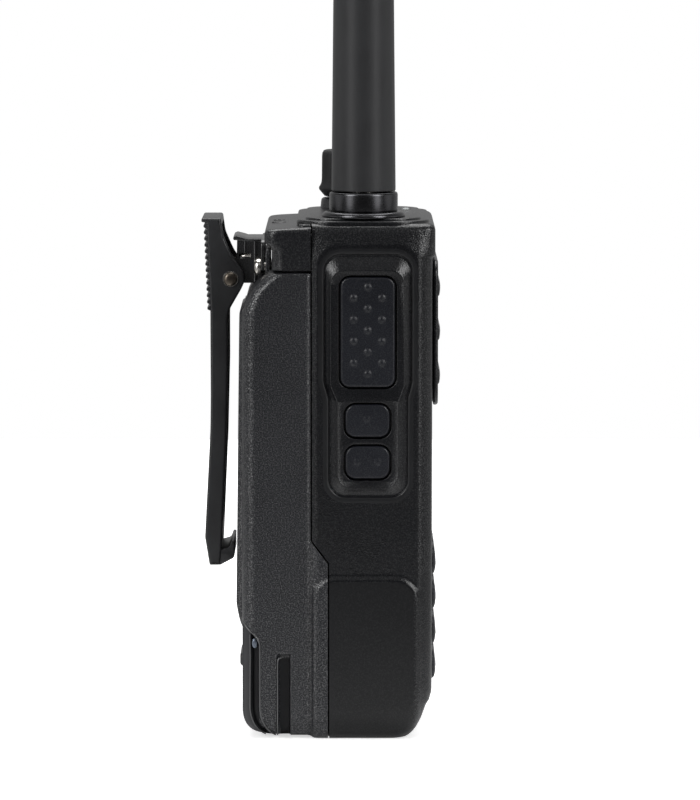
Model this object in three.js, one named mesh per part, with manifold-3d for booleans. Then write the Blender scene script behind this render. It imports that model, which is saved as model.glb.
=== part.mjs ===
// A handheld two-way radio: moulded front cover on a cast chassis, clip-on battery pack with a
// sprung belt clip, stub antenna, two rotary knobs, a talk button with two side keys and a keypad.
// Millimetres. +Z is up, the display and keypad face -Y and the talk button is on the -X side.
// The origin is the centre of the flat foot that the radio stands on.
import * as THREE from "three";
import { mergeVertices } from "three/addons/utils/BufferGeometryUtils.js";
import Module from "manifold-3d";

const wasm = await Module();
wasm.setup();

// ---------------------------------------------------------------- driving dimensions
const ARC_STEPS = 4; // straight pieces in each rounded corner
const ROUND_STEPS = 40; // sides of a turned part
const BODY = { side: 27.4, grip: 28, front: -22.9, brow: -23.6, top: 121.9, wall: 2 };
const SEAM = { high: 5.3, low: 1.3, bendTop: 47.4, bendFoot: 42.2, gap: 0.3 };
const CAVITY = { side: 25.4, front: -20.9, foot: 2.2, top: 119.9 };
const GRIP = { top: 37.4, front: -19, back: 3.9, corner: 4.7 };
const MOUND = { foot: -27.75, face: -28.1 }; // the low mound that the talk button and side keys stand in
const TALK = { y: -7.75, z: 96.7, width: 12.8, height: 25.8, corner: 2.2, face: -28.7 };
const SIDE_KEY = { y: -7.7, width: 10.4, height: 7.7, corner: 2.4, face: -28.4, z: [75.9, 66.1] };
const KEY_GAP = 0.45; // clearance between a key and its hole
const SPEAKER = { z: 95.8, width: 44, height: 34.4, corner: 4, face: -23.9, bars: 3, pitch: 10.4 };
const BAR = { height: 4.6, face: -25, half: 19.3 };
const DISPLAY = { z: 63.3, width: 44, height: 28, corner: 2, face: -22.8, depth: 0.8 };
const KEYPAD = { z: 42.2, pitchX: 11.6, pitchZ: 8.3, width: 10.2, height: 7.1, corner: 2.2, face: -23.65 };
const BEZEL = { y: -6.7, width: 51.2, depth: 30.8, corner: 9, foot: 122.1, top: 122.9, boss: 7.8, bossTop: 125.4 };
const ANTENNA = { x: -15.4, y: -6.8, foot: 129.1, top: 221, radius: 7.55, tipRadius: 6.7, collar: 8.1, flange: 9.75 };
const VOLUME = { x: 3.6, y: -7.4 };
const CHANNEL = { x: 19, y: -3.6 };
const KNOB = { foot: 126, skirtTop: 130.4, top: 137, skirt: 7.6, grip: 6.9, flutes: 10, fluteDepth: 0.55 };
const SHAFT = { radius: 3, foot: 119, top: 132.8 };
const HUMP = { foot: 110.9, back: 16.4, recess: 14.7, recessTop: 116, top: 121.2 };
const PACK = { side: 27, back: 21.8, top: 110.5, panel: 19.5 };
const TONGUE = { side: 14, front: 15.4, back: 16.4, top: 115.3 };
const CLIP_SCREW = { x: 11, z: 110.7, head: 2.1, shank: 1.15 };
const PLATE = { side: 13.4, front: 16.6, back: 17.5, foot: 109.5, top: 117.2 };
const EAR = { inner: 7.4, outer: 8.4 };
const PIVOT = { y: 24.7, z: 107.8, hole: 1.35, pin: 1.2, head: 1.65 };
const ARM = { inner: 8.9, outer: 10.7, teeth: 14, toothPitch: 1.5, toothFoot: 100.1, toothDepth: 0.85 };
const LATCH = { side: 8.8, foot: 9.2, top: 24.7, front: 20.9, back: 21.8, ridge: 22.8, ridgeZ: 16.3 };
const FLAP = { y: -8, foot: 73.6, top: 110.5, width: 12.4, inner: 27.7, thickness: 2.2 };

// ---------------------------------------------------------------- materials
const paint = (color, roughness, metalness = 0) =>
  new THREE.MeshStandardMaterial({ color, roughness, metalness });
const blackPlastic = paint(0x1d1d20, 0.55);
const packPlastic = paint(0x26262a, 0.7);
const castPaint = paint(0x202023, 0.6, 0.2);
const rubber = paint(0x232427, 0.8);
const antennaRubber = paint(0x2b2b2e, 0.6);
const blackSteel = paint(0x0d0d0e, 0.25, 0.6);
const nickel = paint(0xc9c6be, 0.25, 1);
const glass = paint(0x08090b, 0.08);
const boardGreen = paint(0x1d4a2c, 0.5);
const foil = paint(0x9aa0a8, 0.4, 0.7);
const lightPipe = paint(0xd8dde0, 0.2);

// ---------------------------------------------------------------- outlines and solids
// A closed outline through [u, v, setback] corners. A corner with a setback is rounded over that length.
function outline(corners) {
  const shape = new THREE.Shape();
  corners.forEach(([u, v, setback = 0], i) => {
    const corner = new THREE.Vector2(u, v);
    const towards = (index) => {
      const [a, b] = corners.at(index % corners.length);
      return new THREE.Vector2(a - u, b - v).setLength(setback).add(corner);
    };
    const enter = towards(i - 1);
    const leave = towards(i + 1);
    if (i === 0) shape.moveTo(enter.x, enter.y);
    else shape.lineTo(enter.x, enter.y);
    if (setback > 0) shape.quadraticCurveTo(u, v, leave.x, leave.y);
  });
  shape.closePath();
  return shape;
}

function rectangle(u, v, width, height, setback = 0) {
  const [a, b] = [width / 2, height / 2];
  return outline([
    [u - a, v - b, setback],
    [u + a, v - b, setback],
    [u + a, v + b, setback],
    [u - a, v + b, setback],
  ]);
}

function circle(u, v, radius) {
  return new THREE.Shape().absarc(u, v, radius, 0, Math.PI * 2, false);
}

function solidOf(geometry) {
  const loose = geometry.index ? geometry.toNonIndexed() : geometry;
  const bare = new THREE.BufferGeometry().setAttribute("position", loose.getAttribute("position"));
  const merged = mergeVertices(bare, 1e-4);
  const vertProperties = merged.attributes.position.array;
  return new wasm.Manifold(
    new wasm.Mesh({ numProp: 3, vertProperties, triVerts: new Uint32Array(merged.index.array) }),
  );
}

function extrude(shape, length, matrix, steps = ARC_STEPS) {
  const made = new THREE.ExtrudeGeometry(shape, { depth: length, bevelEnabled: false, curveSegments: steps });
  return solidOf(made.applyMatrix4(matrix));
}

const X = new THREE.Vector3(1, 0, 0);
const Y = new THREE.Vector3(0, 1, 0);
const Z = new THREE.Vector3(0, 0, 1);
const frameOf = (u, v, w, origin) => new THREE.Matrix4().makeBasis(u, v, w).setPosition(origin);

// A (y, z) outline run along X, an (x, z) outline run along Y and an (x, y) outline run along Z.
const alongX = (shape, from, to, steps) =>
  extrude(shape, to - from, frameOf(Y, Z, X, new THREE.Vector3(from, 0, 0)), steps);
const alongY = (shape, from, to, steps) =>
  extrude(shape, to - from, frameOf(X, Z, Y.clone().negate(), new THREE.Vector3(0, to, 0)), steps);
const alongZ = (shape, from, to, steps) =>
  extrude(shape, to - from, frameOf(X, Y, Z, new THREE.Vector3(0, 0, from)), steps);

const block = (x0, x1, y0, y1, z0, z1) => alongZ(rectangle((x0 + x1) / 2, (y0 + y1) / 2, x1 - x0, y1 - y0), z0, z1);
const rodX = (y, z, radius, from, to, sides = 20) => alongX(circle(y, z, radius), from, to, sides);
const rodY = (x, z, radius, from, to, sides = 20) => alongY(circle(x, z, radius), from, to, sides);
const rodZ = (x, y, radius, from, to, sides = 24) => alongZ(circle(x, y, radius), from, to, sides);

const join = (first, ...others) => others.reduce((sum, next) => sum.add(next), first);
const cut = (first, ...tools) => tools.reduce((left, tool) => left.subtract(tool), first);
const common = (first, ...others) => others.reduce((sum, next) => sum.intersect(next), first);
const bothSides = (make) => [make(-1), make(1)];

// Turns a profile of [radius, height] points, both ends on the axis, about Z.
function turned(profile, steps = ROUND_STEPS) {
  const points = profile.map(([radius, height]) => new THREE.Vector2(radius, height));
  return new THREE.LatheGeometry(points, steps).rotateX(Math.PI / 2);
}

function piece(name, shape, material, x = 0, y = 0, z = 0) {
  let geometry = shape;
  if (!shape.isBufferGeometry) {
    const { vertProperties, triVerts } = shape.getMesh();
    geometry = new THREE.BufferGeometry()
      .setAttribute("position", new THREE.BufferAttribute(vertProperties, 3))
      .setIndex(new THREE.BufferAttribute(triVerts, 1));
    geometry.computeVertexNormals();
  }
  const mesh = new THREE.Mesh(geometry, material);
  mesh.name = name;
  mesh.position.set(x, y, z);
  return mesh;
}

function assembly(...members) {
  const group = new THREE.Group();
  group.add(...members.flat());
  return group;
}

// ---------------------------------------------------------------- front cover
// The outside of the cover and of the battery's foot: sides, rounded foot and raised grip panels.
function sidesOfBody(side, footSetback, corner) {
  const plan = outline([
    [side, 24, 0.4],
    [side, BODY.brow, corner],
    [-side, BODY.brow, corner],
    [-side, 24, 0.4],
  ]);
  const face = outline([
    [-side, 0, footSetback],
    [side, 0, footSetback],
    [side, BODY.top, 1.6],
    [-side, BODY.top, 1.6],
  ]);
  return common(alongZ(plan, -1, BODY.top + 1), alongY(face, -30, 30));
}

function bodyBlank() {
  const panel = outline([
    [GRIP.front, -10],
    [GRIP.back, -10],
    [GRIP.back, GRIP.top, GRIP.corner],
    [GRIP.front, GRIP.top, GRIP.corner],
  ]);
  const grip = common(sidesOfBody(BODY.grip, 6, 4.6), alongX(panel, -BODY.grip, BODY.grip));
  return join(sidesOfBody(BODY.side, 6, 4.6), grip);
}

const coverProfile = outline([
  [SEAM.low, 0],
  [-17.2, 0, 1],
  [BODY.front, 9.8, 3],
  [BODY.front, 113.6, 0.4],
  [BODY.brow, 114.5, 0.4],
  [BODY.brow, BODY.top, 1.6],
  [SEAM.high, BODY.top, 0.6],
  [SEAM.high, SEAM.bendTop, 0.8],
  [SEAM.low, SEAM.bendFoot, 0.8],
]);

function coverCavity() {
  const profile = outline([
    [10, CAVITY.foot],
    [-16, CAVITY.foot],
    [CAVITY.front, 11, 2],
    [CAVITY.front, CAVITY.top],
    [10, CAVITY.top],
  ]);
  const face = outline([
    [-CAVITY.side, CAVITY.foot, 4],
    [CAVITY.side, CAVITY.foot, 4],
    [CAVITY.side, CAVITY.top],
    [-CAVITY.side, CAVITY.top],
  ]);
  return common(alongX(profile, -CAVITY.side, CAVITY.side), alongY(face, -30, 30));
}

// The mound is wide round the talk button and narrows below it, round the two side keys.
function moundOutline({ back, front, top, waist, lowBack, lowFront, foot }) {
  return outline([
    [back, top, 4],
    [back, waist + 1.8, 1],
    [lowBack, waist - 1.8, 1],
    [lowBack, foot, 4],
    [lowFront, foot, 4],
    [lowFront, waist - 1.8, 1],
    [front, waist + 1.8, 1],
    [front, top, 4],
  ]);
}

function keyMound() {
  const spread = { back: 2.4, front: -18, top: 114.8, waist: 82.8, lowBack: 1.3, lowFront: -17, foot: 57.9 };
  const crest = { back: 0.9, front: -16.3, top: 111.2, waist: 82.4, lowBack: -0.7, lowFront: -14.8, foot: 60 };
  return join(
    alongX(moundOutline(spread), MOUND.foot, -CAVITY.side),
    alongX(moundOutline(crest), MOUND.face, -CAVITY.side),
  );
}

function speakerGrille(cover) {
  const { z, width, height, corner, face, bars, pitch } = SPEAKER;
  const rim = alongY(rectangle(0, z, width, height, corner), face, BODY.front + 0.5);
  const well = alongY(rectangle(0, z, width - 4.4, height - 4, corner - 1.4), face - 1, -22.2);
  let made = cut(join(cover, rim), well);
  for (let i = 0; i < bars; i++) {
    const barZ = z + (i - (bars - 1) / 2) * pitch;
    made = join(made, alongY(rectangle(0, barZ, 2 * BAR.half, BAR.height, 1.8), BAR.face, -21.5));
  }
  for (let i = 0; i < bars - 1; i++) {
    const slotZ = z + (i - (bars - 2) / 2) * pitch;
    made = cut(made, alongY(rectangle(0, slotZ, 2 * BAR.half - 4, 2.2, 1), -26, CAVITY.front + 1));
  }
  return made;
}

const keyPlaces = () => {
  const rows = ["1 2 3 menu", "4 5 6 up", "7 8 9 down", "star 0 hash back"];
  return rows.flatMap((row, r) =>
    row.split(" ").map((label, c) => ({
      name: `key_${label}`,
      x: (c - 1.5) * KEYPAD.pitchX,
      z: KEYPAD.z - r * KEYPAD.pitchZ,
    })),
  );
};

function frontCover() {
  let cover = cut(common(bodyBlank(), alongX(coverProfile, -30, 30)), coverCavity());
  cover = join(cover, keyMound());
  cover = cut(cover, sideHole(TALK.y, TALK.z, TALK), ...SIDE_KEY.z.map((z) => sideHole(SIDE_KEY.y, z, SIDE_KEY)));
  cover = speakerGrille(cover);
  const { z, width, height, corner, face, depth } = DISPLAY;
  cover = cut(
    cover,
    alongY(rectangle(0, z, width + 0.5, height + 0.5, corner), BODY.front - 1, face + depth + 0.2),
    alongY(rectangle(0, z, width - 5, height - 5, 1), BODY.front, CAVITY.front + 1),
    ...keyPlaces().map((key) => {
      const hole = rectangle(key.x, key.z, KEYPAD.width + 0.6, KEYPAD.height + 0.6, KEYPAD.corner);
      return alongY(hole, BODY.front - 1, CAVITY.front + 1);
    }),
    rodY(0, 11.9, 0.6, BODY.front - 1, CAVITY.front + 3, 8),
    rodX(FLAP.y, 99, 2.9, CAVITY.side - 1, 30),
    rodX(FLAP.y, 87, 2.4, CAVITY.side - 1, 30),
    rodZ(ANTENNA.x, ANTENNA.y, 4.2, CAVITY.top - 1, 125),
    rodZ(VOLUME.x, VOLUME.y, 4.5, CAVITY.top - 1, 125),
    rodZ(CHANNEL.x, CHANNEL.y, 4.5, CAVITY.top - 1, 125),
    rodZ(statusLight.x, statusLight.y, 1.3, CAVITY.top - 1, 125, 12),
  );
  return piece("front_cover", cover, blackPlastic);
}

function sideHole(y, z, { width, height, corner }) {
  return alongX(rectangle(y, z, width + 2 * KEY_GAP, height + 2 * KEY_GAP, corner + 0.2), -30, -20);
}

// ---------------------------------------------------------------- chassis and insides
const statusLight = { x: 11.5, y: -17 };
const TERMINAL = { z: 56, width: 12.4, height: 8.4 };

function chassis() {
  const plate = outline([
    [1.45, 3],
    [1.45, 42.1],
    [5.4, 47.3],
    [5.4, 119.6],
    [2.6, 119.6],
    [2.6, 48.4],
    [-1.4, 43.2],
    [-1.4, 3],
  ]);
  const hump = outline([
    [5.6, HUMP.foot, 0.4],
    [HUMP.recess, HUMP.foot, 0.4],
    [HUMP.recess, HUMP.recessTop, 0.8],
    [HUMP.back, 117.4, 0.6],
    [HUMP.back, HUMP.top - 0.6, 1.3],
    [5.6, HUMP.top, 0.4],
  ]);
  const humpPlan = outline([
    [BODY.side, 0],
    [BODY.side, HUMP.back, 3],
    [-BODY.side, HUMP.back, 3],
    [-BODY.side, 0],
  ]);
  const lanyardBar = { y: HUMP.back - 1.6, z: HUMP.top - 1.6 };
  const ring = circle(lanyardBar.y, lanyardBar.z, 3.6);
  ring.holes.push(circle(lanyardBar.y, lanyardBar.z, 1.7));
  const footCorners = alongY(outline([[-25.1, 3, 5], [25.1, 3, 5], [25.1, 120], [-25.1, 120]]), -5, 9);
  const made = join(
    common(alongX(plate, -25.1, 25.1), footCorners),
    block(-24.8, 24.8, 4.9, 5.7, 111, 119.4),
    common(alongX(hump, -30, 30), alongZ(humpPlan, 100, 130)),
    alongZ(outline([[-24.4, 5.6], [24.4, 5.6], [24.4, 8.4, 2], [-24.4, 8.4, 2]]), 119, 121.7),
  );
  return piece(
    "chassis",
    cut(
      made,
      alongX(ring, -4, 4),
      alongY(rectangle(0, TERMINAL.z, 13, 9), 0, 6),
      ...bothSides((s) => rodY(s * 21, 9, 2.6, -0.2, 2)),
      ...bothSides((s) => rodY(s * 21, 9, 1.5, -2, 1)),
    ),
    castPaint,
  );
}

function chassisScrew(name, side) {
  const profile = [[0, 0], [1.3, 0], [1.3, 5.9], [2.4, 5.9], [2.4, 6.9], [0, 6.9]];
  return piece(name, turned(profile, 16).rotateX(-Math.PI / 2), nickel, side * 21, -6, 9);
}

function mainBoard() {
  const relief = block(-22.6, 19.4, -9, -7.6, 5, 106);
  return piece("main_board", relief, boardGreen);
}

function speaker() {
  const profile = [[0, 0], [7, 0], [7, 3.6], [15, 5], [15, 6.2], [13.6, 6.2], [4, 4.4], [0, 5.2]];
  return piece("speaker", turned(profile, 28).rotateX(Math.PI / 2), foil, 0, -14.2, SPEAKER.z);
}

function speakerMesh() {
  return piece("speaker_mesh", alongY(rectangle(0, SPEAKER.z, 37.6, 15, 1), -20.75, -20.55), rubber);
}

function microphone() {
  return piece("microphone", rodY(0, 11.9, 2, -17.4, -15.4, 12), foil);
}

function displayLens() {
  const { z, width, height, corner, face, depth } = DISPLAY;
  return piece("display_lens", alongY(rectangle(0, z, width, height, corner), face, face + depth), glass);
}

function displayModule() {
  return piece("display_module", block(-21, 21, -20.6, -16.6, 50, 77), foil);
}

function keypadMat() {
  return piece("keypad_mat", alongY(rectangle(0, 30.1, 46.6, 36, 2), -18.9, -17.9), rubber);
}

function jackBlock() {
  const body = block(19.9, 25.1, -13, -3, 82, 104);
  const sockets = [rodX(FLAP.y, 99, 1.75, 21, 26), rodX(FLAP.y, 87, 1.25, 21, 26)];
  return piece("jack_block", cut(body, ...sockets), blackPlastic);
}

function statusLamp() {
  return piece("status_light", rodZ(0, 0, 1, 0, 5, 12), lightPipe, statusLight.x, statusLight.y, 118);
}

// ---------------------------------------------------------------- top: bezel, antenna, knobs
function topBezel() {
  const bosses = [VOLUME, CHANNEL].map(({ x, y }) => rodZ(x, y, BEZEL.boss, BEZEL.foot, BEZEL.bossTop, 40));
  const plate = alongZ(rectangle(0, BEZEL.y, BEZEL.width, BEZEL.depth, BEZEL.corner), BEZEL.foot, BEZEL.top);
  return piece(
    "top_bezel",
    cut(
      join(plate, ...bosses),
      rodZ(ANTENNA.x, ANTENNA.y, 4.4, 120, 130),
      rodZ(VOLUME.x, VOLUME.y, 4.6, 120, 130),
      rodZ(CHANNEL.x, CHANNEL.y, 4.6, 120, 130),
      rodZ(statusLight.x, statusLight.y, 1.3, 120, 130, 12),
    ),
    blackPlastic,
  );
}

function antenna() {
  const { x, y, foot, top, radius, tipRadius, collar, flange } = ANTENNA;
  const length = top - foot;
  const dome = Array.from({ length: 6 }, (_, i) => {
    const turn = ((i + 1) / 6) * (Math.PI / 2);
    return [tipRadius * Math.cos(turn), length - 3.5 + 3.5 * Math.sin(turn)];
  });
  const sleeve = [[0, 7], [3.4, 7], [3.4, 0], [radius - 0.3, 0], [radius, 0.3], [tipRadius, length - 3.5], ...dome];
  const ring = [[3.5, 0], [collar, 0], [collar, 4], [collar - 0.4, 4.4], [3.5, 4.4], [3.5, 0]];
  const seal = [[4.6, 0], [flange, 0], [flange, 0.7], [flange - 0.6, 1.2], [4.6, 1.2], [4.6, 0]];
  const stud = [[0, 0], [3.1, 0], [3.1, 5], [5.5, 5], [5.5, 6.4], [3.1, 6.4], [3.1, 20.5], [0, 20.5]];
  return [
    piece("antenna_sleeve", turned(sleeve), antennaRubber, x, y, foot),
    piece("antenna_collar", turned(ring), blackSteel, x, y, 124.5),
    piece("antenna_gasket", turned(seal), rubber, x, y, 123.1),
    piece("antenna_connector", turned(stud, 20), nickel, x, y, 113),
  ];
}

function knob(name, { x, y }) {
  const { foot, skirtTop, top, skirt, grip, flutes, fluteDepth } = KNOB;
  const around = flutes * 6;
  const lobes = Array.from({ length: around }, (_, i) => {
    const turn = (i / around) * Math.PI * 2;
    const radius = grip - fluteDepth * (0.5 - 0.5 * Math.cos(turn * flutes));
    return [radius * Math.cos(turn), radius * Math.sin(turn)];
  });
  const skirtProfile = [
    [0, 0],
    [5.6, 0],
    [skirt, 3],
    [skirt, 3.6],
    [grip, skirtTop - foot],
    [0, skirtTop - foot],
  ];
  const body = join(solidOf(turned(skirtProfile)), alongZ(outline(lobes), 3.5, top - foot));
  return piece(name, cut(body, rodZ(0, 0, SHAFT.radius + 0.1, -1, SHAFT.top - foot + 0.3)), rubber, x, y, foot);
}

function rotaryControl(bodyName, shaftName, { x, y }) {
  const { radius, foot, top } = SHAFT;
  const can = join(block(-5.5, 5.5, -5.5, 5.5, 0, 8), rodZ(0, 0, 4.2, 7.5, 17.4));
  const bored = cut(can, rodZ(0, 0, radius + 0.15, foot - 108.3, 20));
  return [
    piece(bodyName, bored, foil, x, y, 108),
    piece(shaftName, rodZ(0, 0, radius, 0, top - foot), nickel, x, y, foot),
  ];
}

// ---------------------------------------------------------------- keys
// A press key: a cap through the wall, with a flange behind the wall that keeps it in.
function sidePress(name, y, z, { width, height, corner, face }, flange) {
  const cap = alongX(rectangle(0, 0, width, height, corner), face, -24.7);
  const lip = alongX(rectangle(0, 0, width + flange, height + flange, 1), -25.1, -24.2);
  return piece(name, join(cap, lip), rubber, 0, y, z);
}

function keypadKeys() {
  const cap = alongY(rectangle(0, 0, KEYPAD.width, KEYPAD.height, KEYPAD.corner), KEYPAD.face, -20);
  const lip = alongY(rectangle(0, 0, KEYPAD.width + 1, KEYPAD.height + 1, 1), -20.6, -19.7);
  const shape = join(cap, lip);
  return keyPlaces().map((key) => piece(key.name, shape, rubber, key.x, 0, key.z));
}

function accessoryCover() {
  const { y, foot, top, width, inner, thickness } = FLAP;
  const radius = thickness / 2;
  const side = outline([
    [inner, foot - radius, radius],
    [inner + thickness, foot - radius, radius],
    [inner + thickness, top, 1],
    [inner, top, 0.3],
  ]);
  const face = rectangle(y, (foot - radius + top) / 2, width, top - foot + radius, 2.5);
  const body = common(alongY(side, y - width / 2, y + width / 2), alongX(face, inner - 1, inner + thickness + 1));
  const fingerNotch = rodY(inner + thickness + 1.4, top - 4.5, 2, y - 4, y + 4, 16);
  return piece("accessory_cover", cut(body, fingerNotch), rubber);
}

// ---------------------------------------------------------------- battery pack
const packProfile = outline([
  [SEAM.low + SEAM.gap, 0, 0.4],
  [SEAM.low + SEAM.gap, SEAM.bendFoot - 0.2, 0.8],
  [SEAM.high + SEAM.gap, SEAM.bendTop - 0.2, 0.8],
  [SEAM.high + SEAM.gap, PACK.top, 0.4],
  [15, PACK.top, 1],
  [19.3, 107, 2.5],
  [PACK.back, 101.8, 3],
  [PACK.back, 0, 7],
]);

function packShell() {
  const plan = outline([
    [PACK.side, 5],
    [PACK.side, PACK.back, 3],
    [-PACK.side, PACK.back, 3],
    [-PACK.side, 5],
  ]);
  const face = outline([
    [-PACK.side, 0, 6],
    [PACK.side, 0, 6],
    [PACK.side, PACK.top, 1],
    [-PACK.side, PACK.top, 1],
  ]);
  const main = common(alongX(packProfile, -30, 30), alongZ(plan, -1, 120), alongY(face, 0, 30));
  const wrap = common(bodyBlank(), alongX(packProfile, -30, 30), block(-30, 30, 0, SEAM.high, -1, 60));
  const panel = outline([
    [17, 100.5],
    [22.4, 100.5, 3],
    [23.4, 30.5, 1.5],
    [21.3, 26],
    [17, 26],
  ]);
  const tongue = alongY(rectangle(0, 110, 2 * TONGUE.side, 2 * (TONGUE.top - 110), 2), TONGUE.front, TONGUE.back);
  return join(main, wrap, alongX(panel, -PACK.panel, PACK.panel), tongue);
}

function packCavity() {
  const profile = outline([
    [-1, 3.6],
    [19.8, 3.6, 6],
    [19.8, 100, 3],
    [17.2, 105.2],
    [13.6, 107.8],
    [-1, 107.8],
  ]);
  const face = outline([
    [-25, 3.6, 4],
    [25, 3.6, 4],
    [25, 107.8],
    [-25, 107.8],
  ]);
  return common(alongX(profile, -25, 25), alongY(face, -1, 30));
}

// Two grooves in each side near the back guide the pack into a charger cradle.
function cradleGrooves(side) {
  const near = side < 0 ? [-30, -25.9] : [25.9, 30];
  const shallow = side < 0 ? [-30, -26.1] : [26.1, 30];
  const corner = outline([
    [17.6, -1],
    [20, -1],
    [20, 25.7, 0.6],
    [17.6, 24, 0.8],
  ]);
  const slot = outline([
    [10.2, -1],
    [12.6, -1],
    [12.6, 20.4, 1],
    [10.2, 20.4, 1],
  ]);
  return [alongX(corner, ...near), alongX(slot, ...shallow)];
}

function batteryCase() {
  const latchPocket = alongY(rectangle(0, 15.7, 19, 18.8, 1), 20.6, 25);
  const shell = cut(
    packShell(),
    packCavity(),
    latchPocket,
    ...bothSides(cradleGrooves).flat(),
    ...bothSides((s) => rodY(s * CLIP_SCREW.x, CLIP_SCREW.z, 1.3, 10, 20)),
  );
  return piece("battery_case", shell, packPlastic);
}

function batteryInsides() {
  const lid = outline([
    [1.9, 4.2],
    [1.9, 41.8],
    [5.9, 47],
    [5.9, 106],
    [7.5, 106],
    [7.5, 4.2],
  ]);
  const opening = alongY(rectangle(0, TERMINAL.z, 13, 9), 0, 9);
  const footCorners = alongY(outline([[-24.6, 4.2, 4], [24.6, 4.2, 4], [24.6, 106], [-24.6, 106]]), 0, 9);
  const cell = alongZ(rectangle(0, 13.8, 23.8, 11.4, 2.5), 0, 84);
  return [
    piece("battery_lid", cut(common(alongX(lid, -24.6, 24.6), footCorners), opening), packPlastic),
    piece("battery_cell_left", cell, foil, -12.2, 0, 10.5),
    piece("battery_cell_right", cell, foil, 12.2, 0, 10.5),
    piece("battery_board", block(-21, 21, 8.2, 15.5, 96.4, 97.6), boardGreen),
    terminalBlock("battery_terminals", 5.8, 7.7),
    terminalBlock("radio_terminals", 2.3, 5.1),
  ];
}

// A moulded block with three raised contact bars on its outer face.
function terminalBlock(name, front, back) {
  const { z, width, height } = TERMINAL;
  const bars = [-1, 0, 1].map((i) => alongY(rectangle(i * 3.8, z, 1.8, 6), front, back));
  const body = alongY(rectangle(0, z, width, height), front + 0.3, back - 0.3);
  return piece(name, join(body, ...bars), foil);
}

function chargeContact(name, side) {
  const [from, to] = side < 0 ? [-26.5, -26.05] : [26.05, 26.5];
  return piece(name, rodX(18.8, 23, 0.75, from, to, 16), nickel);
}

function batteryLatch() {
  const { side, foot, top, front, back, ridge, ridgeZ } = LATCH;
  const plate = alongY(rectangle(0, (foot + top) / 2, 2 * side, top - foot, 1.2), front, back);
  const bump = outline([
    [back - 0.3, ridgeZ - 2.2],
    [ridge, ridgeZ - 1, 0.5],
    [ridge, ridgeZ + 0.6, 0.5],
    [back - 0.3, ridgeZ + 1.6],
  ]);
  return piece("battery_latch", join(plate, alongX(bump, -side + 1, side - 1)), blackPlastic);
}

// ---------------------------------------------------------------- belt clip
const pivotHole = () => rodX(PIVOT.y, PIVOT.z, PIVOT.hole, -20, 20);

function clipBracket() {
  const { side, front, back, foot, top } = PLATE;
  const plate = alongY(rectangle(0, (foot + top) / 2, 2 * side, top - foot, 1.6), front, back);
  const ear = outline([
    [17.2, foot],
    [19.8, 107.7],
    [20.8, 106.8],
    [23, 106.8, 0.5],
    [24.2, 105.4, 1],
    [26.9, 105.4, 1.6],
    [26.9, 110.2, 1.6],
    [23.4, 112.6, 0.6],
    [23.2, 117, 0.3],
    [17.2, top],
  ]);
  const ears = bothSides((s) => (s < 0 ? alongX(ear, -EAR.outer, -EAR.inner) : alongX(ear, EAR.inner, EAR.outer)));
  const springNotch = block(-9, 9, 19.9, 22.8, 112.7, 113.8);
  const hook = block(-EAR.outer, EAR.outer, 20.9, 24, 116.9, 117.9);
  const holes = bothSides((s) => rodY(s * CLIP_SCREW.x, CLIP_SCREW.z, 1.3, 10, 20));
  return piece("clip_bracket", cut(join(plate, ...ears, hook), springNotch, pivotHole(), ...holes), blackSteel);
}

function clipArm() {
  const { inner, outer, teeth, toothPitch, toothFoot, toothDepth } = ARM;
  const ribs = Array.from({ length: teeth }, (_, i) => {
    const z = toothFoot + i * toothPitch;
    const base = 29.45 + i * 0.07;
    return [
      [base, z],
      [base + toothDepth, z + toothPitch * 0.55, 0.15],
    ];
  }).flat();
  const side = outline([
    ...ribs,
    [30.5, 121.2],
    [31.6, 121.5, 0.3],
    [31.6, 122.3, 0.45],
    [27, 122.3, 0.6],
    [26.4, 118, 2],
    [24.3, 113.2, 1.5],
    [22, 110.2, 1.2],
    [21.2, 107.6, 1.3],
    [22.2, 105.4, 1],
    [24.9, 100.7, 1.4],
    [25.35, 99],
    [25.35, 88],
    [25.8, 70],
    [26.9, 44.6],
    [26.9, 43.4, 0.3],
    [25.1, 43.8, 0.6],
    [24.6, 45.2, 0.2],
    [23.9, 45.2, 0.2],
    [23.95, 41.2, 0.8],
    [27.3, 39.3, 0.3],
    [29.9, 39.3, 0.5],
    [31, 46.1, 1.5],
    [29.6, 72],
    [29.5, 80],
    [29.6, toothFoot - 0.3],
  ]);
  const hollow = outline([
    [15, 50],
    [15, 120.8],
    [29.2, 120.8],
    [28, 99],
    [28, 80],
    [29, 50],
  ]);
  return piece("clip_arm", cut(alongX(side, -outer, outer), alongX(hollow, -inner, inner), pivotHole()), blackPlastic);
}

function clipPin() {
  const { pin, head } = PIVOT;
  const reach = ARM.outer + 0.3;
  const dome = 0.7;
  const profile = [[0, -reach - dome], [head * 0.7, -reach - dome * 0.8], [head, -reach], [pin, -reach]];
  const mirrored = profile.map(([radius, height]) => [radius, -height]).reverse();
  const rivet = turned([...profile, ...mirrored], 20).rotateY(Math.PI / 2);
  return piece("clip_pin", rivet, nickel, 0, PIVOT.y, PIVOT.z);
}

// A torsion spring round the pin. One leg runs up inside the bracket and lies across its notch.
class SpringPath extends THREE.Curve {
  constructor(turns, radius, length) {
    super();
    Object.assign(this, { turns, radius, length });
    const start = this.coil(0);
    this.leg = new THREE.CatmullRomCurve3([
      new THREE.Vector3(-6.4, -6.2, 5.4),
      new THREE.Vector3(-6.4, -3.6, 5.4),
      new THREE.Vector3(-6.1, -2.2, 4.8),
      new THREE.Vector3(-5.3, -1.9, 2.6),
      start,
    ]);
  }
  coil(t) {
    const turn = Math.PI + t * this.turns * Math.PI * 2;
    const x = (t - 0.5) * this.length;
    return new THREE.Vector3(x, this.radius * Math.cos(turn), this.radius * Math.sin(turn));
  }
  getPoint(t) {
    const legShare = 0.15;
    return t < legShare ? this.leg.getPoint(t / legShare) : this.coil((t - legShare) / (1 - legShare));
  }
}

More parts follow.
